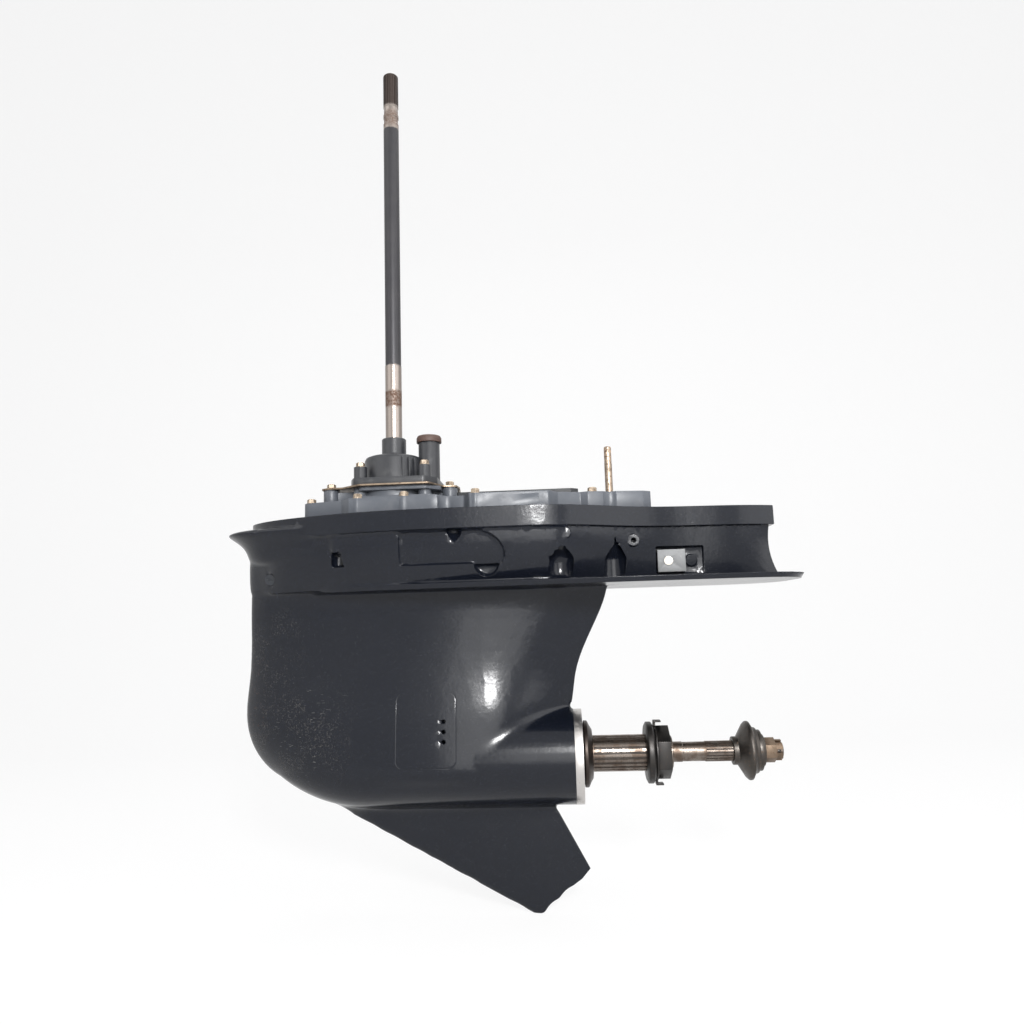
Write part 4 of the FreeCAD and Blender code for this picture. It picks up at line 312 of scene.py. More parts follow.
def moulded(name, colour, rough=0.42, worn_colour=(0.10, 0.10, 0.10)):
    """Moulded plastic or rubber with a fine grain and a little grime."""
    finish = Finish(name)
    grime = finish.step(finish.grain(70.0, 5.0, 0.6), 0.5, 0.8)
    fine = finish.grain(1100.0, 2.0, 0.5)
    shade = finish.blend(grime * 0.45, colour, worn_colour)
    return finish.shade(shade, grime * 0.2 + rough, normal=finish.relief(fine, 0.00005))


def steel(name, colour, rough=0.3, rust=0.0, lines="X"):
    """Turned steel with fine tool lines, stains and rust."""
    finish = Finish(name)
    rust_brown, dirt = (0.09, 0.045, 0.022), (0.05, 0.045, 0.04)
    thin = {"X": (1.0, 0.02, 0.02), "Z": (0.02, 0.02, 1.0)}[lines]
    tool = finish.grain(2600.0, 2.0, 0.6, finish.stretched(thin))
    stain = finish.step(finish.grain(60.0, 6.0, 0.62), 0.42, 0.72)
    pits = finish.step(finish.grain(300.0, 5.0, 0.72), 0.62 - 0.12 * rust, 0.72 - 0.06 * rust)
    shade = finish.blend(stain * 0.55, colour, dirt)
    shade = finish.blend(pits * min(1.0, rust), shade, rust_brown)
    roughness = tool * 0.12 + stain * 0.15 + pits * (0.4 * rust) + (rough - 0.06)
    return finish.shade(shade, roughness, metal=1.0 - pits * (0.8 * rust),
                        normal=finish.relief(tool * 0.4 + pits * rust, 0.00006))


def driveshaft_steel():
    """Dark coat over most of the shaft, bare and rusty above the pump, grime and rust at the splines."""
    finish = Finish("driveshaft_steel")
    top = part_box("driveshaft")[1].z
    level = finish.z + finish.grain(90.0, 5.0, 0.7) * 0.012
    coat = finish.band(level, 0.217, top - 0.079, 0.0012)
    low_rust = finish.band(level, 0.160, 0.182, 0.003)
    high_rust = finish.band(level, top - 0.076, top - 0.052, 0.004) * 0.7
    spots = finish.step(finish.grain(330.0, 5.0, 0.7), 0.44, 0.58)
    rust = finish.maths("MAXIMUM", low_rust, high_rust) * (spots * 0.55 + 0.60)
    specks = finish.step(finish.grain(210.0, 5.0, 0.75), 0.63, 0.70)
    specks = specks * finish.step(finish.z, 0.24, 0.20) * 0.9
    rust = finish.maths("MAXIMUM", finish.maths("MINIMUM", rust, 1.0), specks)
    thin = finish.grain(2200.0, 2.0, 0.6, finish.stretched((0.05, 0.05, 1.0)))
    splines = finish.step(finish.z, top - 0.052, top - 0.047)
    bare = finish.blend(thin * 0.4, (0.30, 0.262, 0.238), (0.20, 0.172, 0.150))
    grimy = finish.blend(finish.grain(260.0, 4.0, 0.7), (0.065, 0.048, 0.042), (0.022, 0.017, 0.016))
    colour = finish.blend(splines * 0.9, bare, grimy)
    dark = finish.blend(finish.grain(40.0, 5.0, 0.6), (0.019, 0.019, 0.023), (0.041, 0.039, 0.041))
    colour = finish.blend(coat, colour, dark)
    colour = finish.blend(rust, colour, (0.075, 0.035, 0.018))
    metal = (1.0 - coat * 0.55) * (1.0 - rust * 0.8)
    rough = thin * 0.1 + 0.24 + coat * 0.12 + rust * 0.35 + splines * 0.12
    return finish.shade(colour, rough, metal=metal, normal=finish.relief(rust * 0.6 + thin * 0.15, 0.00012))


def propeller_shaft_steel():
    """Ground steel, stained brown and dark between the splines."""
    finish = Finish("propeller_shaft_steel")
    rise = finish.z - SHAFT_LINE
    across = finish.maths("SQRT", finish.y * finish.y + rise * rise)
    outer, inner = (finish.band(finish.x, start, end, 0.0006) * finish.step(across, tip, root)
                    for start, end, tip, root in PROPELLER_SPLINES)
    deep = finish.maths("MAXIMUM", outer, inner)
    stain = finish.step(finish.grain(70.0, 6.0, 0.65), 0.38, 0.62)
    spots = finish.step(finish.grain(420.0, 4.0, 0.7), 0.54, 0.68)
    colour = finish.blend(stain * 0.8, (0.20, 0.172, 0.150), (0.085, 0.058, 0.042))
    colour = finish.blend(spots * 0.5, colour, (0.10, 0.06, 0.04))
    colour = finish.blend(deep * 0.9, colour, (0.035, 0.027, 0.022))
    tool = finish.grain(2600.0, 2.0, 0.6, finish.stretched((1.0, 0.03, 0.03)))
    return finish.shade(colour, tool * 0.1 + stain * 0.18 + 0.22 + deep * 0.3,
                        metal=1.0 - deep * 0.7 - spots * 0.2,
                        normal=finish.relief(tool * 0.3 + spots * 0.4, 0.00007))


def silver_ring():
    """Bare machined aluminium of the bearing carrier, a little corroded."""
    finish = Finish("bare_aluminium")
    tool = finish.grain(1800.0, 2.0, 0.6, finish.stretched((1.0, 0.05, 0.05)))
    stain = finish.step(finish.grain(120.0, 5.0, 0.7), 0.52, 0.70)
    colour = finish.blend(stain * 0.5, (0.57, 0.55, 0.53), (0.33, 0.30, 0.26))
    return finish.shade(colour, tool * 0.1 + stain * 0.2 + 0.30, metal=1.0 - stain * 0.3,
                        normal=finish.relief(tool * 0.3 + stain * 0.4, 0.00008))


def cast_anode():
    """Dull cast anode metal with a grainy, slightly eaten face."""
    finish = Finish("cast_anode")
    grain = finish.grain(520.0, 6.0, 0.75)
    eaten = finish.step(finish.grain(160.0, 5.0, 0.7), 0.55, 0.72)
    colour = finish.blend(grain, (0.13, 0.135, 0.14), (0.20, 0.20, 0.20))
    colour = finish.blend(eaten * 0.4, colour, (0.30, 0.30, 0.29))
    return finish.shade(colour, grain * 0.2 + 0.5, metal=0.35,
                        normal=finish.relief(grain - eaten * 0.5, 0.00015))


# Mesh helpers


def make_object(name, mesh):
    made = bpy.data.objects.new(name, mesh)
    bpy.context.scene.collection.objects.link(made)
    return made


def finished_mesh(made):
    """Applies every modifier on the object by way of its evaluated mesh."""
    graph = bpy.context.evaluated_depsgraph_get()
    mesh = bpy.data.meshes.new_from_object(made.evaluated_get(graph))
    made.modifiers.clear()
    made.data = mesh
    return mesh


def coordinates(mesh):
    points = np.empty(len(mesh.vertices) * 3)
    mesh.vertices.foreach_get("co", points)
    return points.reshape(-1, 3)


def set_coordinates(mesh, points):
    mesh.vertices.foreach_set("co", points.ravel())
    mesh.update()


def merged_copy(node, name):
    """A copy of a frame node with its doubles merged."""
    mesh = NODES[node].data.copy()
    build = bmesh.new()
    build.from_mesh(mesh)
    bmesh.ops.remove_doubles(build, verts=build.verts, dist=1e-6)
    build.to_mesh(mesh)
    build.free()
    mesh.materials.clear()
    return make_object(name, mesh)


def settle(made, material, node, smooth_angle=32.0):
    """Gives a piece its finish and its shading, and lets it ride and stand for a node."""
    mesh = made.data
    mesh.materials.clear()
    mesh.materials.append(material)
    mesh.shade_smooth()
    mesh.set_sharp_from_angle(angle=math.radians(smooth_angle))
    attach(made, BODY_OF[node])
    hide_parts(node)
    return made


def eased_copy(node, name, width_mm, material, angle=28.0):
    """A copy of a frame node with its sharp edges rounded, which stands for the node."""
    made = merged_copy(node, name)
    build = bmesh.new()
    build.from_mesh(made.data)
    bmesh.ops.dissolve_limit(build, angle_limit=math.radians(0.8), verts=build.verts, edges=build.edges)
    build.to_mesh(made.data)
    build.free()
    bevel = made.modifiers.new("ease", "BEVEL")
    bevel.width = width_mm * MM
    bevel.segments = 2
    bevel.limit_method = "ANGLE"
    bevel.angle_limit = math.radians(angle)
    finished_mesh(made)
    return settle(made, material, node)


def neighbours(mesh):
    pairs = np.empty(len(mesh.edges) * 2, np.int64)
    mesh.edges.foreach_get("vertices", pairs)
    pairs = pairs.reshape(-1, 2)
    ends = np.concatenate([pairs[:, 0], pairs[:, 1]])
    others = np.concatenate([pairs[:, 1], pairs[:, 0]])
    degree = np.maximum(np.bincount(ends, minlength=len(mesh.vertices)), 1)
    return ends, others, degree


def average(points, links):
    ends, others, degree = links
    return np.stack([np.bincount(ends, points[others, i], len(degree)) / degree for i in range(3)], 1)


def smoothed(points, links, amount, passes):
    """Smooths without shrinking: each pass moves in by the amount and back out by a little more."""
    for _ in range(passes):
        points = points + (average(points, links) - points) * amount[:, None] * 0.6
        points = points - (average(points, links) - points) * amount[:, None] * 0.61
    return points


def skeg_stretch(heights):
    """How far the thin skeg is spread sideways, level by level, while its skin is woven."""
    spread = 1.0 + (SKEG_SPREAD - 1.0) * np.clip((SKEG_TOP - heights) / SKEG_BLEND, 0, 1)
    return np.stack([np.ones(len(heights)), spread, np.ones(len(heights))], 1)


def creases(build, least_degrees, inward=False):
    """A tree of points along the edges of a mesh that stand out, or that fold in."""
    points = []
    for edge in build.edges:
        if not edge.is_manifold:
            continue
        start, end = (vertex.co for vertex in edge.verts)
        bend = math.degrees(edge.calc_face_angle_signed(0.0))
        least = SKEG_CREST_DEGREES if max(start.z, end.z) < SKEG_TOP and not inward else least_degrees
        if (bend < -least) if inward else (bend > least):
            count = max(1, int((end - start).length / (0.4 * MM)))
            points.extend(start.lerp(end, step / count) for step in range(count + 1))
    tree = KDTree(len(points))
    for index, point in enumerate(points):
        tree.insert(point, index)
    tree.balance()
    return tree


def paint_nodes(names, material):
    for name in names:
        mesh = NODES[name].data
        mesh.materials.clear()
        mesh.materials.append(material)
        mesh.shade_smooth()
        mesh.set_sharp_from_angle(angle=math.radians(30))


# Settings


def length_setting(name, description, default, least, most):
    return bpy.props.FloatProperty(name=name, description=description, default=default, min=least, max=most,
                                   subtype="DISTANCE", unit="LENGTH")


class PaintSettings(bpy.types.PropertyGroup):
    paint: bpy.props.FloatVectorProperty(name="Case paint", description="Base colour of the case",
                                         subtype="COLOR", default=PAINT_COLOUR, min=0.0, max=1.0)


class CaseSettings(bpy.types.PropertyGroup):
    voxel: length_setting("Skin voxel", "Cell size of the cast skin", 0.0017, 0.001, 0.01)
    fillet: length_setting("Fillet", "Reach of the soft joins between the cast forms", 0.012, 0.0, 0.05)
    fillet_passes: bpy.props.IntProperty(name="Fillet passes", description="Smoothing passes in the joins",
                                         default=45, min=0, max=200)
    crisp_passes: bpy.props.IntProperty(name="Crisp passes", description="Smoothing passes over the skin",
                                        default=2, min=0, max=20)
    triangles: bpy.props.IntProperty(name="Triangles", description="Triangles kept in the skin",
                                     default=190000)


class BoltSettings(bpy.types.PropertyGroup):
    flats: length_setting("Across flats", "Width of the bolt heads", 0.010, 0.004, 0.03)
    head: length_setting("Head height", "Height of the hexagon", 0.005, 0.001, 0.02)
    flange: length_setting("Flange height", "Height of the washer face", 0.0014, 0.0005, 0.005)
    shank: length_setting("Shank radius", "Radius of the shank", 0.003, 0.001, 0.01)


class StageSettings(bpy.types.PropertyGroup):
    focal: bpy.props.FloatProperty(name="Focal length", description="Camera focal length in millimetres",
                                   default=27.757, min=10.0, max=200.0)


# Bolts


def bolt_seats(node, tall):
    """The seat of each bolt of a group, below its head, and how deep the longest shank goes."""
    build = bmesh.new()
    build.from_mesh(NODES[node].data)
    bmesh.ops.remove_doubles(build, verts=build.verts, dist=1e-6)
    seats, seen, depth = [], set(), 0.0
    for vertex in build.verts:
        if vertex in seen:
            continue
        island, front = {vertex}, [vertex]
        while front:
            for edge in front.pop().link_edges:
                for other in edge.verts:
                    if other not in island:
                        island.add(other)
                        front.append(other)
        seen |= island
        low = [min(v.co[i] for v in island) for i in range(3)]
        high = [max(v.co[i] for v in island) for i in range(3)]
        seat = high[2] - tall
        seats.append(((low[0] + high[0]) / 2, (low[1] + high[1]) / 2, seat))
        depth = max(depth, seat - low[2])
    build.free()
    return seats, depth


def bolt_tree(material):
    """A node tree that stands a flanged hexagon bolt on each point, each turned its own way."""
    tree = bpy.data.node_groups.new("flanged_bolts", "GeometryNodeTree")
    face = tree.interface
    face.new_socket("Geometry", in_out="INPUT", socket_type="NodeSocketGeometry")
    for name in ("Across flats", "Head height", "Flange height", "Shank radius", "Shank depth"):
        face.new_socket(name, in_out="INPUT", socket_type="NodeSocketFloat")
    face.new_socket("Seed", in_out="INPUT", socket_type="NodeSocketInt")
    face.new_socket("Bolts", in_out="OUTPUT", socket_type="NodeSocketGeometry")

    def node(kind, settings=None, links=None):
        made = tree.nodes.new(kind)
        for key, value in (settings or {}).items():
            setattr(made, key, value)
        for key, value in (links or {}).items():
            if isinstance(value, bpy.types.NodeSocket):
                tree.links.new(value, made.inputs[key])
            else:
                made.inputs[key].default_value = value
        return made

    def maths(operation, first, second):
        return node("ShaderNodeMath", {"operation": operation}, {0: first, 1: second}).outputs[0]

    given = node("NodeGroupInput").outputs
    flats, head, flange = given["Across flats"], given["Head height"], given["Flange height"]
    shank, depth = given["Shank radius"], given["Shank depth"]

    def turned_part(corners, foot, crown, tall, level):
        form = node("GeometryNodeMeshCone", None,
                    {"Vertices": corners, "Radius Bottom": foot, "Radius Top": crown, "Depth": tall})
        lift = node("ShaderNodeCombineXYZ", None, {"Z": level})
        return node("GeometryNodeTransform", None,
                    {"Geometry": form.outputs["Mesh"], "Translation": lift.outputs[0]}).outputs[0]

    def share(whole, part):
        return maths("MULTIPLY", whole, part)

    washer, hexagon = 0.6, 0.86
    rim = share(flats, 0.68)
    corner = share(flats, 0.5774)
    parts = [
        turned_part(48, rim, rim, share(flange, washer), 0.0),
        turned_part(48, rim, share(flats, 0.58), share(flange, 1.0 - washer), share(flange, washer)),
        turned_part(6, corner, corner, share(head, hexagon), flange),
        turned_part(32, share(flats, 0.50), share(flats, 0.43), share(head, 1.0 - hexagon),
                    maths("ADD", flange, share(head, hexagon))),
        turned_part(24, shank, shank, depth, share(depth, -1.0)),
    ]
    whole = node("GeometryNodeJoinGeometry")
    for part in reversed(parts):
        tree.links.new(part, whole.inputs[0])
    sixth_turn = 1.047
    yaw = node("FunctionNodeRandomValue", {"data_type": "FLOAT"}, {3: sixth_turn, "Seed": given["Seed"]})
    turn = node("ShaderNodeCombineXYZ", None, {"Z": yaw.outputs[1]})
    stand = node("GeometryNodeInstanceOnPoints", None,
                 {"Points": given["Geometry"], "Instance": whole.outputs[0], "Rotation": turn.outputs[0]})
    real = node("GeometryNodeRealizeInstances", None, {"Geometry": stand.outputs[0]})
    painted = node("GeometryNodeSetMaterial", None, {"Geometry": real.outputs[0], "Material": material})
    end = node("NodeGroupOutput")
    tree.links.new(painted.outputs[0], end.inputs[0])
    return tree


# Pieces


class LOWERUNIT_OT_case(bpy.types.Operator):
    """Cast the case: one smooth skin over the strut, torpedo, skeg, plate and upper body"""

    bl_idname = "lowerunit.case"
    bl_label = "Case"

    def execute(self, context):
        sizes = context.scene.lower_unit_case
        made = merged_copy("gearcase_housing", "case_skin")
        solid = bmesh.new()
        solid.from_mesh(made.data)
        surface = BVHTree.FromBMesh(solid)
        crests, folds = creases(solid, CREST_DEGREES), creases(solid, FOLD_DEGREES, inward=True)
        solid.free()
        mesh = self.weave(made, sizes.voxel)
        links = neighbours(mesh)
        points, on_crest, to_fold = self.snap(mesh, surface, crests, folds, sizes.voxel)
        rise = points[:, 2] - SHAFT_LINE
        for _ in range(sizes.crisp_passes):
            points = smoothed(points, links, np.where(on_crest, 0.0, 0.7), 2)
            for index in np.flatnonzero(~on_crest):
                points[index] = surface.find_nearest(points[index])[0]
        weight = self.join_weights(points, rise, to_fold, sizes.fillet)
        for _ in range(sizes.fillet_passes):
            points = points + (average(points, links) - points) * weight
        set_coordinates(mesh, points)
        self.mark_edges(self.thin(made, sizes.triangles))
        settle(made, case_paint(), "gearcase_housing", 34.0)
        return {"FINISHED"}

    def weave(self, made, voxel):
        """Wraps the case in an even skin, with the skeg spread sideways."""
        shape = coordinates(made.data)
        set_coordinates(made.data, shape * skeg_stretch(shape[:, 2]))
        remesh = made.modifiers.new("skin", "REMESH")
        remesh.mode = "VOXEL"
        remesh.voxel_size = voxel
        return finished_mesh(made)

    def snap(self, mesh, surface, crests, folds, voxel):
        """Lays the skin on the solid's surface and on its crests, and measures how far each fold is."""
        points = coordinates(mesh)
        points = points / skeg_stretch(points[:, 2])
        to_fold = np.zeros(len(points))
        on_crest = np.zeros(len(points), bool)
        for index, point in enumerate(points):
            place = surface.find_nearest(point)[0]
            crest, _, distance = crests.find(place)
            on_crest[index] = distance < voxel * (SKEG_CREST_REACH if place.z < SKEG_TOP else CREST_REACH)
            points[index] = crest if on_crest[index] else place
            to_fold[index] = folds.find(place)[2]
        return points, on_crest, to_fold

    def join_weights(self, points, rise, to_fold, fillet):
        """How much each point gives way to a join: most in a fold, nothing where the case stays crisp."""
        x, y, z = points.T
        crisp = np.hypot(y, rise) < CARRIER_RADIUS
        crisp |= (np.abs(x - SCOOPS_X) < SCOOPS_HALF) & (rise > SCOOPS_RISE[0]) & (rise < SCOOPS_RISE[1])
        crisp |= x > UPPER_END_X
        lower = np.clip((BROAD_RISE - rise) / BROAD_BLEND, 0, 1)
        lower[crisp] = 0.0
        broad = lower * np.clip(1.0 - to_fold / fillet, 0, 1)
        narrow = (1.0 - lower) * np.clip(1.0 - to_fold / (fillet * 0.3), 0, 1) * 0.7
        narrow[crisp | (z > RIM_FACE)] = 0.0
        return np.maximum(broad, narrow)[:, None] * 0.8

    def thin(self, made, triangles):
        """Brings the skin down to about this many triangles."""
        count = sum(len(face.vertices) - 2 for face in made.data.polygons)
        if count <= triangles:
            return made.data
        made.modifiers.new("thin", "DECIMATE").ratio = triangles / count
        return finished_mesh(made)

    def mark_edges(self, mesh):
        """Stores how far each point stands out of its neighbours, where the paint chips first."""
        points = coordinates(mesh)
        normals = np.empty(len(points) * 3)
        mesh.vertices.foreach_get("normal", normals)
        lift = ((points - average(points, neighbours(mesh))) * normals.reshape(-1, 3)).sum(1)
        edge = mesh.attributes.new("edge", "FLOAT", "POINT")
        edge.data.foreach_set("value", np.clip(lift / (0.25 * MM), 0, 1).astype(np.float32))


class LOWERUNIT_OT_covers(bpy.types.Operator):
    """Paint and ease the cover plate and the seal carrier, and finish the gasket"""

    bl_idname = "lowerunit.covers"
    bl_label = "Covers"

    def execute(self, context):
        grey = cover_paint()
        eased_copy("cover_plate", "cover_casting", 1.4, grey)
        eased_copy("seal_carrier", "carrier_casting", 1.0, grey)
        paint_nodes(["cover_gasket"], moulded("gasket", (0.03, 0.026, 0.022), 0.6))
        return {"FINISHED"}


class LOWERUNIT_OT_pump(bpy.types.Operator):
    """Finish the water pump, its wear plate and the outlet grommet"""

    bl_idname = "lowerunit.pump"
    bl_label = "Water pump"

    def execute(self, context):
        plastic = moulded("pump_plastic", (0.016, 0.017, 0.020), 0.38, (0.06, 0.06, 0.06))
        eased_copy("pump_housing", "pump_moulding", 0.9, plastic)
        eased_copy("pump_wear_plate", "wear_plate", 0.3,
                   steel("wear_plate_steel", (0.24, 0.185, 0.135), 0.4, 0.8))
        eased_copy("outlet_grommet", "grommet", 0.5,
                   moulded("grommet_rubber", (0.060, 0.032, 0.024), 0.6, (0.11, 0.07, 0.05)))
        paint_nodes(["pump_liner"], steel("liner_steel", (0.5, 0.48, 0.45), 0.3))
        paint_nodes(["pump_impeller", "pump_neck_seal", "driveshaft_oil_seals", "carrier_o_rings",
                     "outer_shaft_seals"], moulded("seal_rubber", (0.02, 0.018, 0.017), 0.55))
        return {"FINISHED"}


class LOWERUNIT_OT_bolts(bpy.types.Operator):
    """Stand a flanged hexagon bolt on every seat of the cover and the pump"""

    bl_idname = "lowerunit.bolts"
    bl_label = "Bolts"

    def execute(self, context):
        bolt = context.scene.lower_unit_bolts
        plate = zinc()
        tree = bolt_tree(plate)
        for seed, node in enumerate(("cover_bolts", "pump_bolts", "plate_bolts")):
            seats, depth = bolt_seats(node, bolt.head + bolt.flange)
            mesh = bpy.data.meshes.new(f"{node}_forged")
            mesh.from_pydata(seats, [], [])
            made = make_object(f"{node}_forged", mesh)
            repeat = made.modifiers.new("bolts", "NODES")
            repeat.node_group = tree
            for name, value in (("Across flats", bolt.flats), ("Head height", bolt.head),
                                ("Flange height", bolt.flange), ("Shank radius", bolt.shank),
                                ("Shank depth", depth), ("Seed", seed)):
                repeat[tree.interface.items_tree[name].identifier] = value
            finished_mesh(made)
            settle(made, plate, node, 30.0)
        return {"FINISHED"}


class LOWERUNIT_OT_shafts(bpy.types.Operator):
    """Finish the driveshaft, the propeller shafts and what is fitted on them"""

    bl_idname = "lowerunit.shafts"
    bl_label = "Shafts"

    def execute(self, context):
        paint_nodes(["driveshaft"], driveshaft_steel())
        paint_nodes(["inner_prop_shaft", "outer_prop_shaft"], propeller_shaft_steel())
        eased_copy("front_thrust_ring", "thrust_ring", 0.8,
                   steel("thrust_ring_steel", (0.055, 0.045, 0.040), 0.38, 0.5))
        dark = steel("blackened_steel", (0.045, 0.043, 0.042), 0.40, 0.3)
        for node, name in (("rear_spacer_ring", "spacer"), ("outer_prop_nut", "hex_nut"),
                           ("tab_washer", "tabs")):
            eased_copy(node, name, 0.7, dark)
        cone = steel("cone_steel", (0.075, 0.068, 0.062), 0.38, 0.6)
        for node, name in (("rear_thrust_hub", "cone"), ("thrust_washer", "step_washer")):
            eased_copy(node, name, 0.6, cone)
        eased_copy("castle_nut", "castle", 0.6, steel("castle_steel", (0.17, 0.125, 0.09), 0.42, 0.9))
        eased_copy("prop_bearing_carrier", "carrier_ring", 0.5, silver_ring())
        paint_nodes(["shift_shaft"], steel("shift_shaft_steel", (0.34, 0.27, 0.21), 0.38, 1.0, lines="Z"))
        return {"FINISHED"}


class LOWERUNIT_OT_trim(bpy.types.Operator):
    """Finish the anodes, their screws and the oil plugs"""

    bl_idname = "lowerunit.trim"
    bl_label = "Anodes and plugs"

    def execute(self, context):
        metal = cast_anode()
        for node in ("anode_port", "anode_starboard"):
            eased_copy(node, f"{node}_casting", 0.8, metal)
        paint_nodes(["anode_screws"], steel("anode_screw_steel", (0.30, 0.28, 0.25), 0.4, 0.6))
        paint_nodes(["oil_level_plug", "drain_plug"], moulded("painted_plug", (0.012, 0.014, 0.018), 0.3))
        return {"FINISHED"}


class LOWERUNIT_OT_inner_train(bpy.types.Operator):
    """Finish the gears, clutches, bearings and shift rods inside the case"""

    bl_idname = "lowerunit.inner_train"
    bl_label = "Inner train"

    def execute(self, context):
        gear = steel("gear_steel", (0.40, 0.40, 0.41), 0.28)
        paint_nodes(["pinion_gear", "pinion_nut", "front_gear", "rear_gear", "front_clutch", "rear_clutch",
                     "rear_collar", "front_cross_pin", "rear_cross_pin", "shift_plunger", "impeller_key"],
                    gear)
        bearings = [node for node in NODES if "bearing" in node and node != "prop_bearing_carrier"]
        paint_nodes(bearings, steel("bearing_steel", (0.62, 0.62, 0.62), 0.2))
        paint_nodes(["shift_lever", "shift_link", "lower_shift_rod"],
                    steel("linkage_steel", (0.45, 0.43, 0.38), 0.35, 0.2))
        paint_nodes(["inner_shaft_bushes", "lower_rod_bush", "shift_shaft_bushes"],
                    steel("bush_bronze", (0.50, 0.33, 0.14), 0.35))
        return {"FINISHED"}


def background_rays(tree):
    """1 for the rays that look at the background, 0 for those that light the object."""
    path = tree.nodes.new("ShaderNodeLightPath")
    seen = path.outputs["Is Camera Ray"]
    for ray in ("Is Glossy Ray", "Is Transmission Ray"):
        larger = tree.nodes.new("ShaderNodeMath")
        larger.operation = "MAXIMUM"
        tree.links.new(seen, larger.inputs[0])
        tree.links.new(path.outputs[ray], larger.inputs[1])
        seen = larger.outputs[0]
    return seen


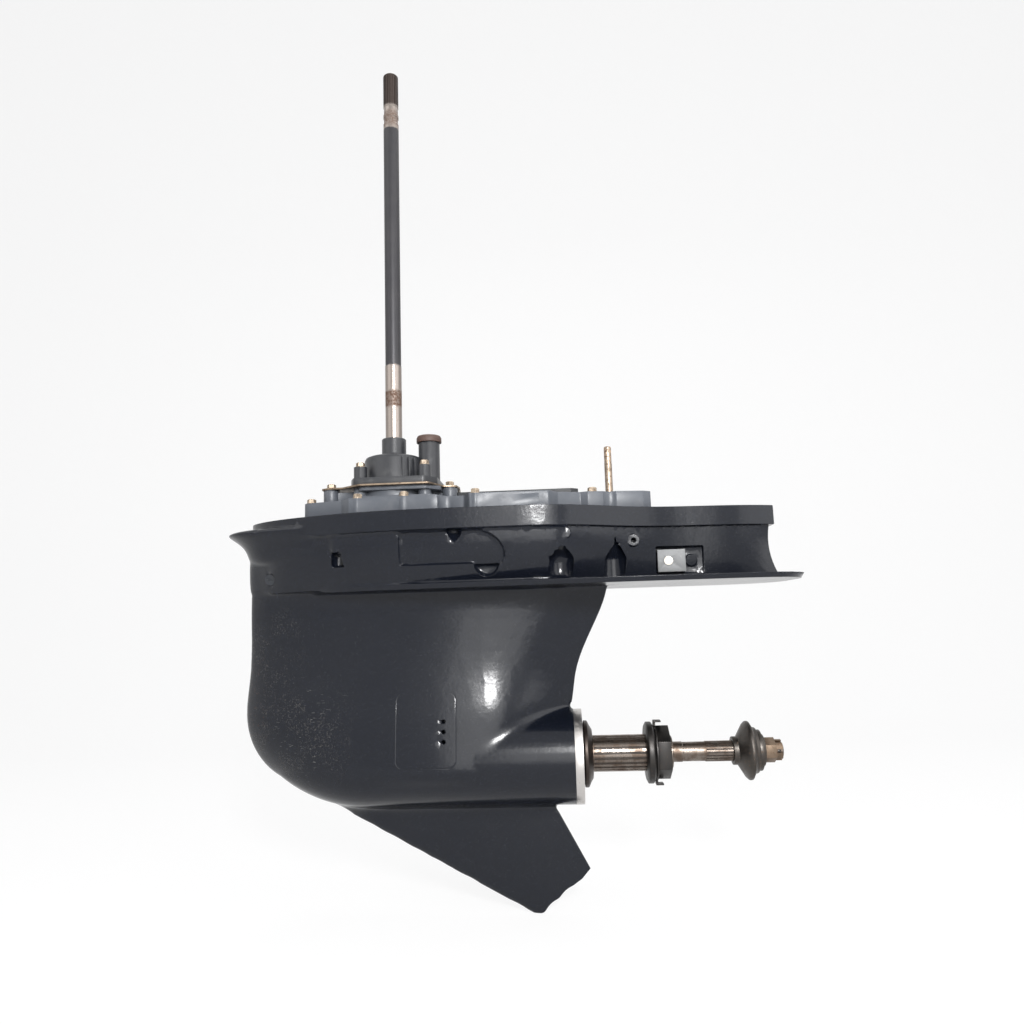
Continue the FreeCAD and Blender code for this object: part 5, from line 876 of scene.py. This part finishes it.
class LOWERUNIT_OT_stage(bpy.types.Operator):
    """Set the camera, the lights, the floor and the backdrop"""

    bl_idname = "lowerunit.stage"
    bl_label = "Stage"

    def execute(self, context):
        scene = context.scene
        scene.view_settings.view_transform = "Standard"
        self.camera(scene)
        self.lamps(scene)
        self.room(scene)
        self.floor()
        return {"FINISHED"}

    def camera(self, scene):
        data = bpy.data.cameras.new("photo_camera")
        data.lens = scene.lower_unit_stage.focal
        data.sensor_width = SENSOR_WIDTH
        camera = bpy.data.objects.new("photo_camera", data)
        scene.collection.objects.link(camera)
        turn = (Matrix.Rotation(CAMERA_YAW, 3, "Z") @ Matrix.Rotation(CAMERA_PITCH, 3, "X")
                @ Matrix.Rotation(CAMERA_ROLL, 3, "Y"))
        axes = Matrix((turn.col[0], turn.col[2], -turn.col[1])).transposed()
        camera.matrix_world = Matrix.Translation(CAMERA_PLACE) @ axes.to_4x4()
        scene.camera = camera

    def lamps(self, scene):
        for name, place, width, height, power in LAMPS:
            data = bpy.data.lights.new(name, "AREA")
            data.shape = "RECTANGLE"
            data.size, data.size_y, data.energy = width, height, power
            lamp = bpy.data.objects.new(name, data)
            scene.collection.objects.link(lamp)
            aim = (LAMPS_FACE - Vector(place)).to_track_quat("-Z", "Y").to_matrix().to_4x4()
            lamp.matrix_world = Matrix.Translation(place) @ aim

    def room(self, scene):
        world = bpy.data.worlds.new("pale_room")
        scene.world = world
        world.use_nodes = True
        tree = world.node_tree
        tree.nodes.clear()
        either = tree.nodes.new("ShaderNodeMixShader")
        tree.links.new(background_rays(tree), either.inputs[0])
        for slot, colour, strength in ((1, (0.30, 0.31, 0.33, 1), 0.55), (2, (1, 1, 1, 1), 1.0)):
            glow = tree.nodes.new("ShaderNodeBackground")
            glow.inputs["Color"].default_value = colour
            glow.inputs["Strength"].default_value = strength
            tree.links.new(glow.outputs[0], either.inputs[slot])
        out = tree.nodes.new("ShaderNodeOutputWorld")
        tree.links.new(either.outputs[0], out.inputs["Surface"])

    def floor(self):
        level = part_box("gearcase_housing")[0].z - MM
        profile = [(FLOOR_FRONT, level), (FLOOR_BACK, level)]
        for step in range(1, SWEEP_STEPS + 1):
            angle = math.pi / 2 * step / SWEEP_STEPS
            profile.append((FLOOR_BACK + SWEEP_RADIUS * math.sin(angle),
                            level + SWEEP_RADIUS * (1 - math.cos(angle))))
        profile.append((FLOOR_BACK + SWEEP_RADIUS, level + BACKDROP_TALL))
        points = [(x, y, z) for y, z in profile for x in (-FLOOR_HALF, FLOOR_HALF)]
        faces = [(2 * i, 2 * i + 1, 2 * i + 3, 2 * i + 2) for i in range(len(profile) - 1)]
        mesh = bpy.data.meshes.new("sweep")
        mesh.from_pydata(points, [], faces)
        mesh.shade_smooth()
        finish = Finish("pale_sweep")
        seen = Wire(finish, background_rays(finish.tree))
        diffuse = finish.node("ShaderNodeBsdfDiffuse", values={"Color": (0.90, 0.90, 0.90, 1.0)})
        glow = finish.node("ShaderNodeEmission", values={"Color": (1.0, 1.0, 1.0, 1.0), "Strength": 1.0})
        mixed = finish.node("ShaderNodeMixShader", values={0: seen * BACKDROP_SHARE})
        out = finish.node("ShaderNodeOutputMaterial")
        for socket, end in ((diffuse.outputs[0], mixed.inputs[1]), (glow.outputs[0], mixed.inputs[2]),
                            (mixed.outputs[0], out.inputs["Surface"])):
            finish.tree.links.new(socket, end)
        mesh.materials.append(finish.material)
        make_object("sweep", mesh)


class LOWERUNIT_PT_sidebar(bpy.types.Panel):
    bl_label = "Lower Unit"
    bl_idname = "LOWERUNIT_PT_sidebar"
    bl_space_type = "VIEW_3D"
    bl_region_type = "UI"
    bl_category = "Lower Unit"

    def draw(self, context):
        for name in STEPS:
            self.layout.operator(f"lowerunit.{name}")


STEPS = ("stage", "case", "covers", "pump", "bolts", "shafts", "trim", "inner_train")
CLASSES = (
    PaintSettings, CaseSettings, BoltSettings, StageSettings, LOWERUNIT_OT_stage, LOWERUNIT_OT_case,
    LOWERUNIT_OT_covers, LOWERUNIT_OT_pump, LOWERUNIT_OT_bolts, LOWERUNIT_OT_shafts, LOWERUNIT_OT_trim,
    LOWERUNIT_OT_inner_train, LOWERUNIT_PT_sidebar,
)


def register():
    for item in CLASSES:
        bpy.utils.register_class(item)
    bpy.types.Scene.lower_unit_paint = bpy.props.PointerProperty(type=PaintSettings)
    bpy.types.Scene.lower_unit_case = bpy.props.PointerProperty(type=CaseSettings)
    bpy.types.Scene.lower_unit_bolts = bpy.props.PointerProperty(type=BoltSettings)
    bpy.types.Scene.lower_unit_stage = bpy.props.PointerProperty(type=StageSettings)


def unregister():
    del bpy.types.Scene.lower_unit_paint
    del bpy.types.Scene.lower_unit_case
    del bpy.types.Scene.lower_unit_bolts
    del bpy.types.Scene.lower_unit_stage
    for item in reversed(CLASSES):
        bpy.utils.unregister_class(item)


def main():
    import json

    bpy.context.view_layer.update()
    register()
    for name in STEPS:
        getattr(bpy.ops.lowerunit, name)()


if __name__ == "__main__":
    main()
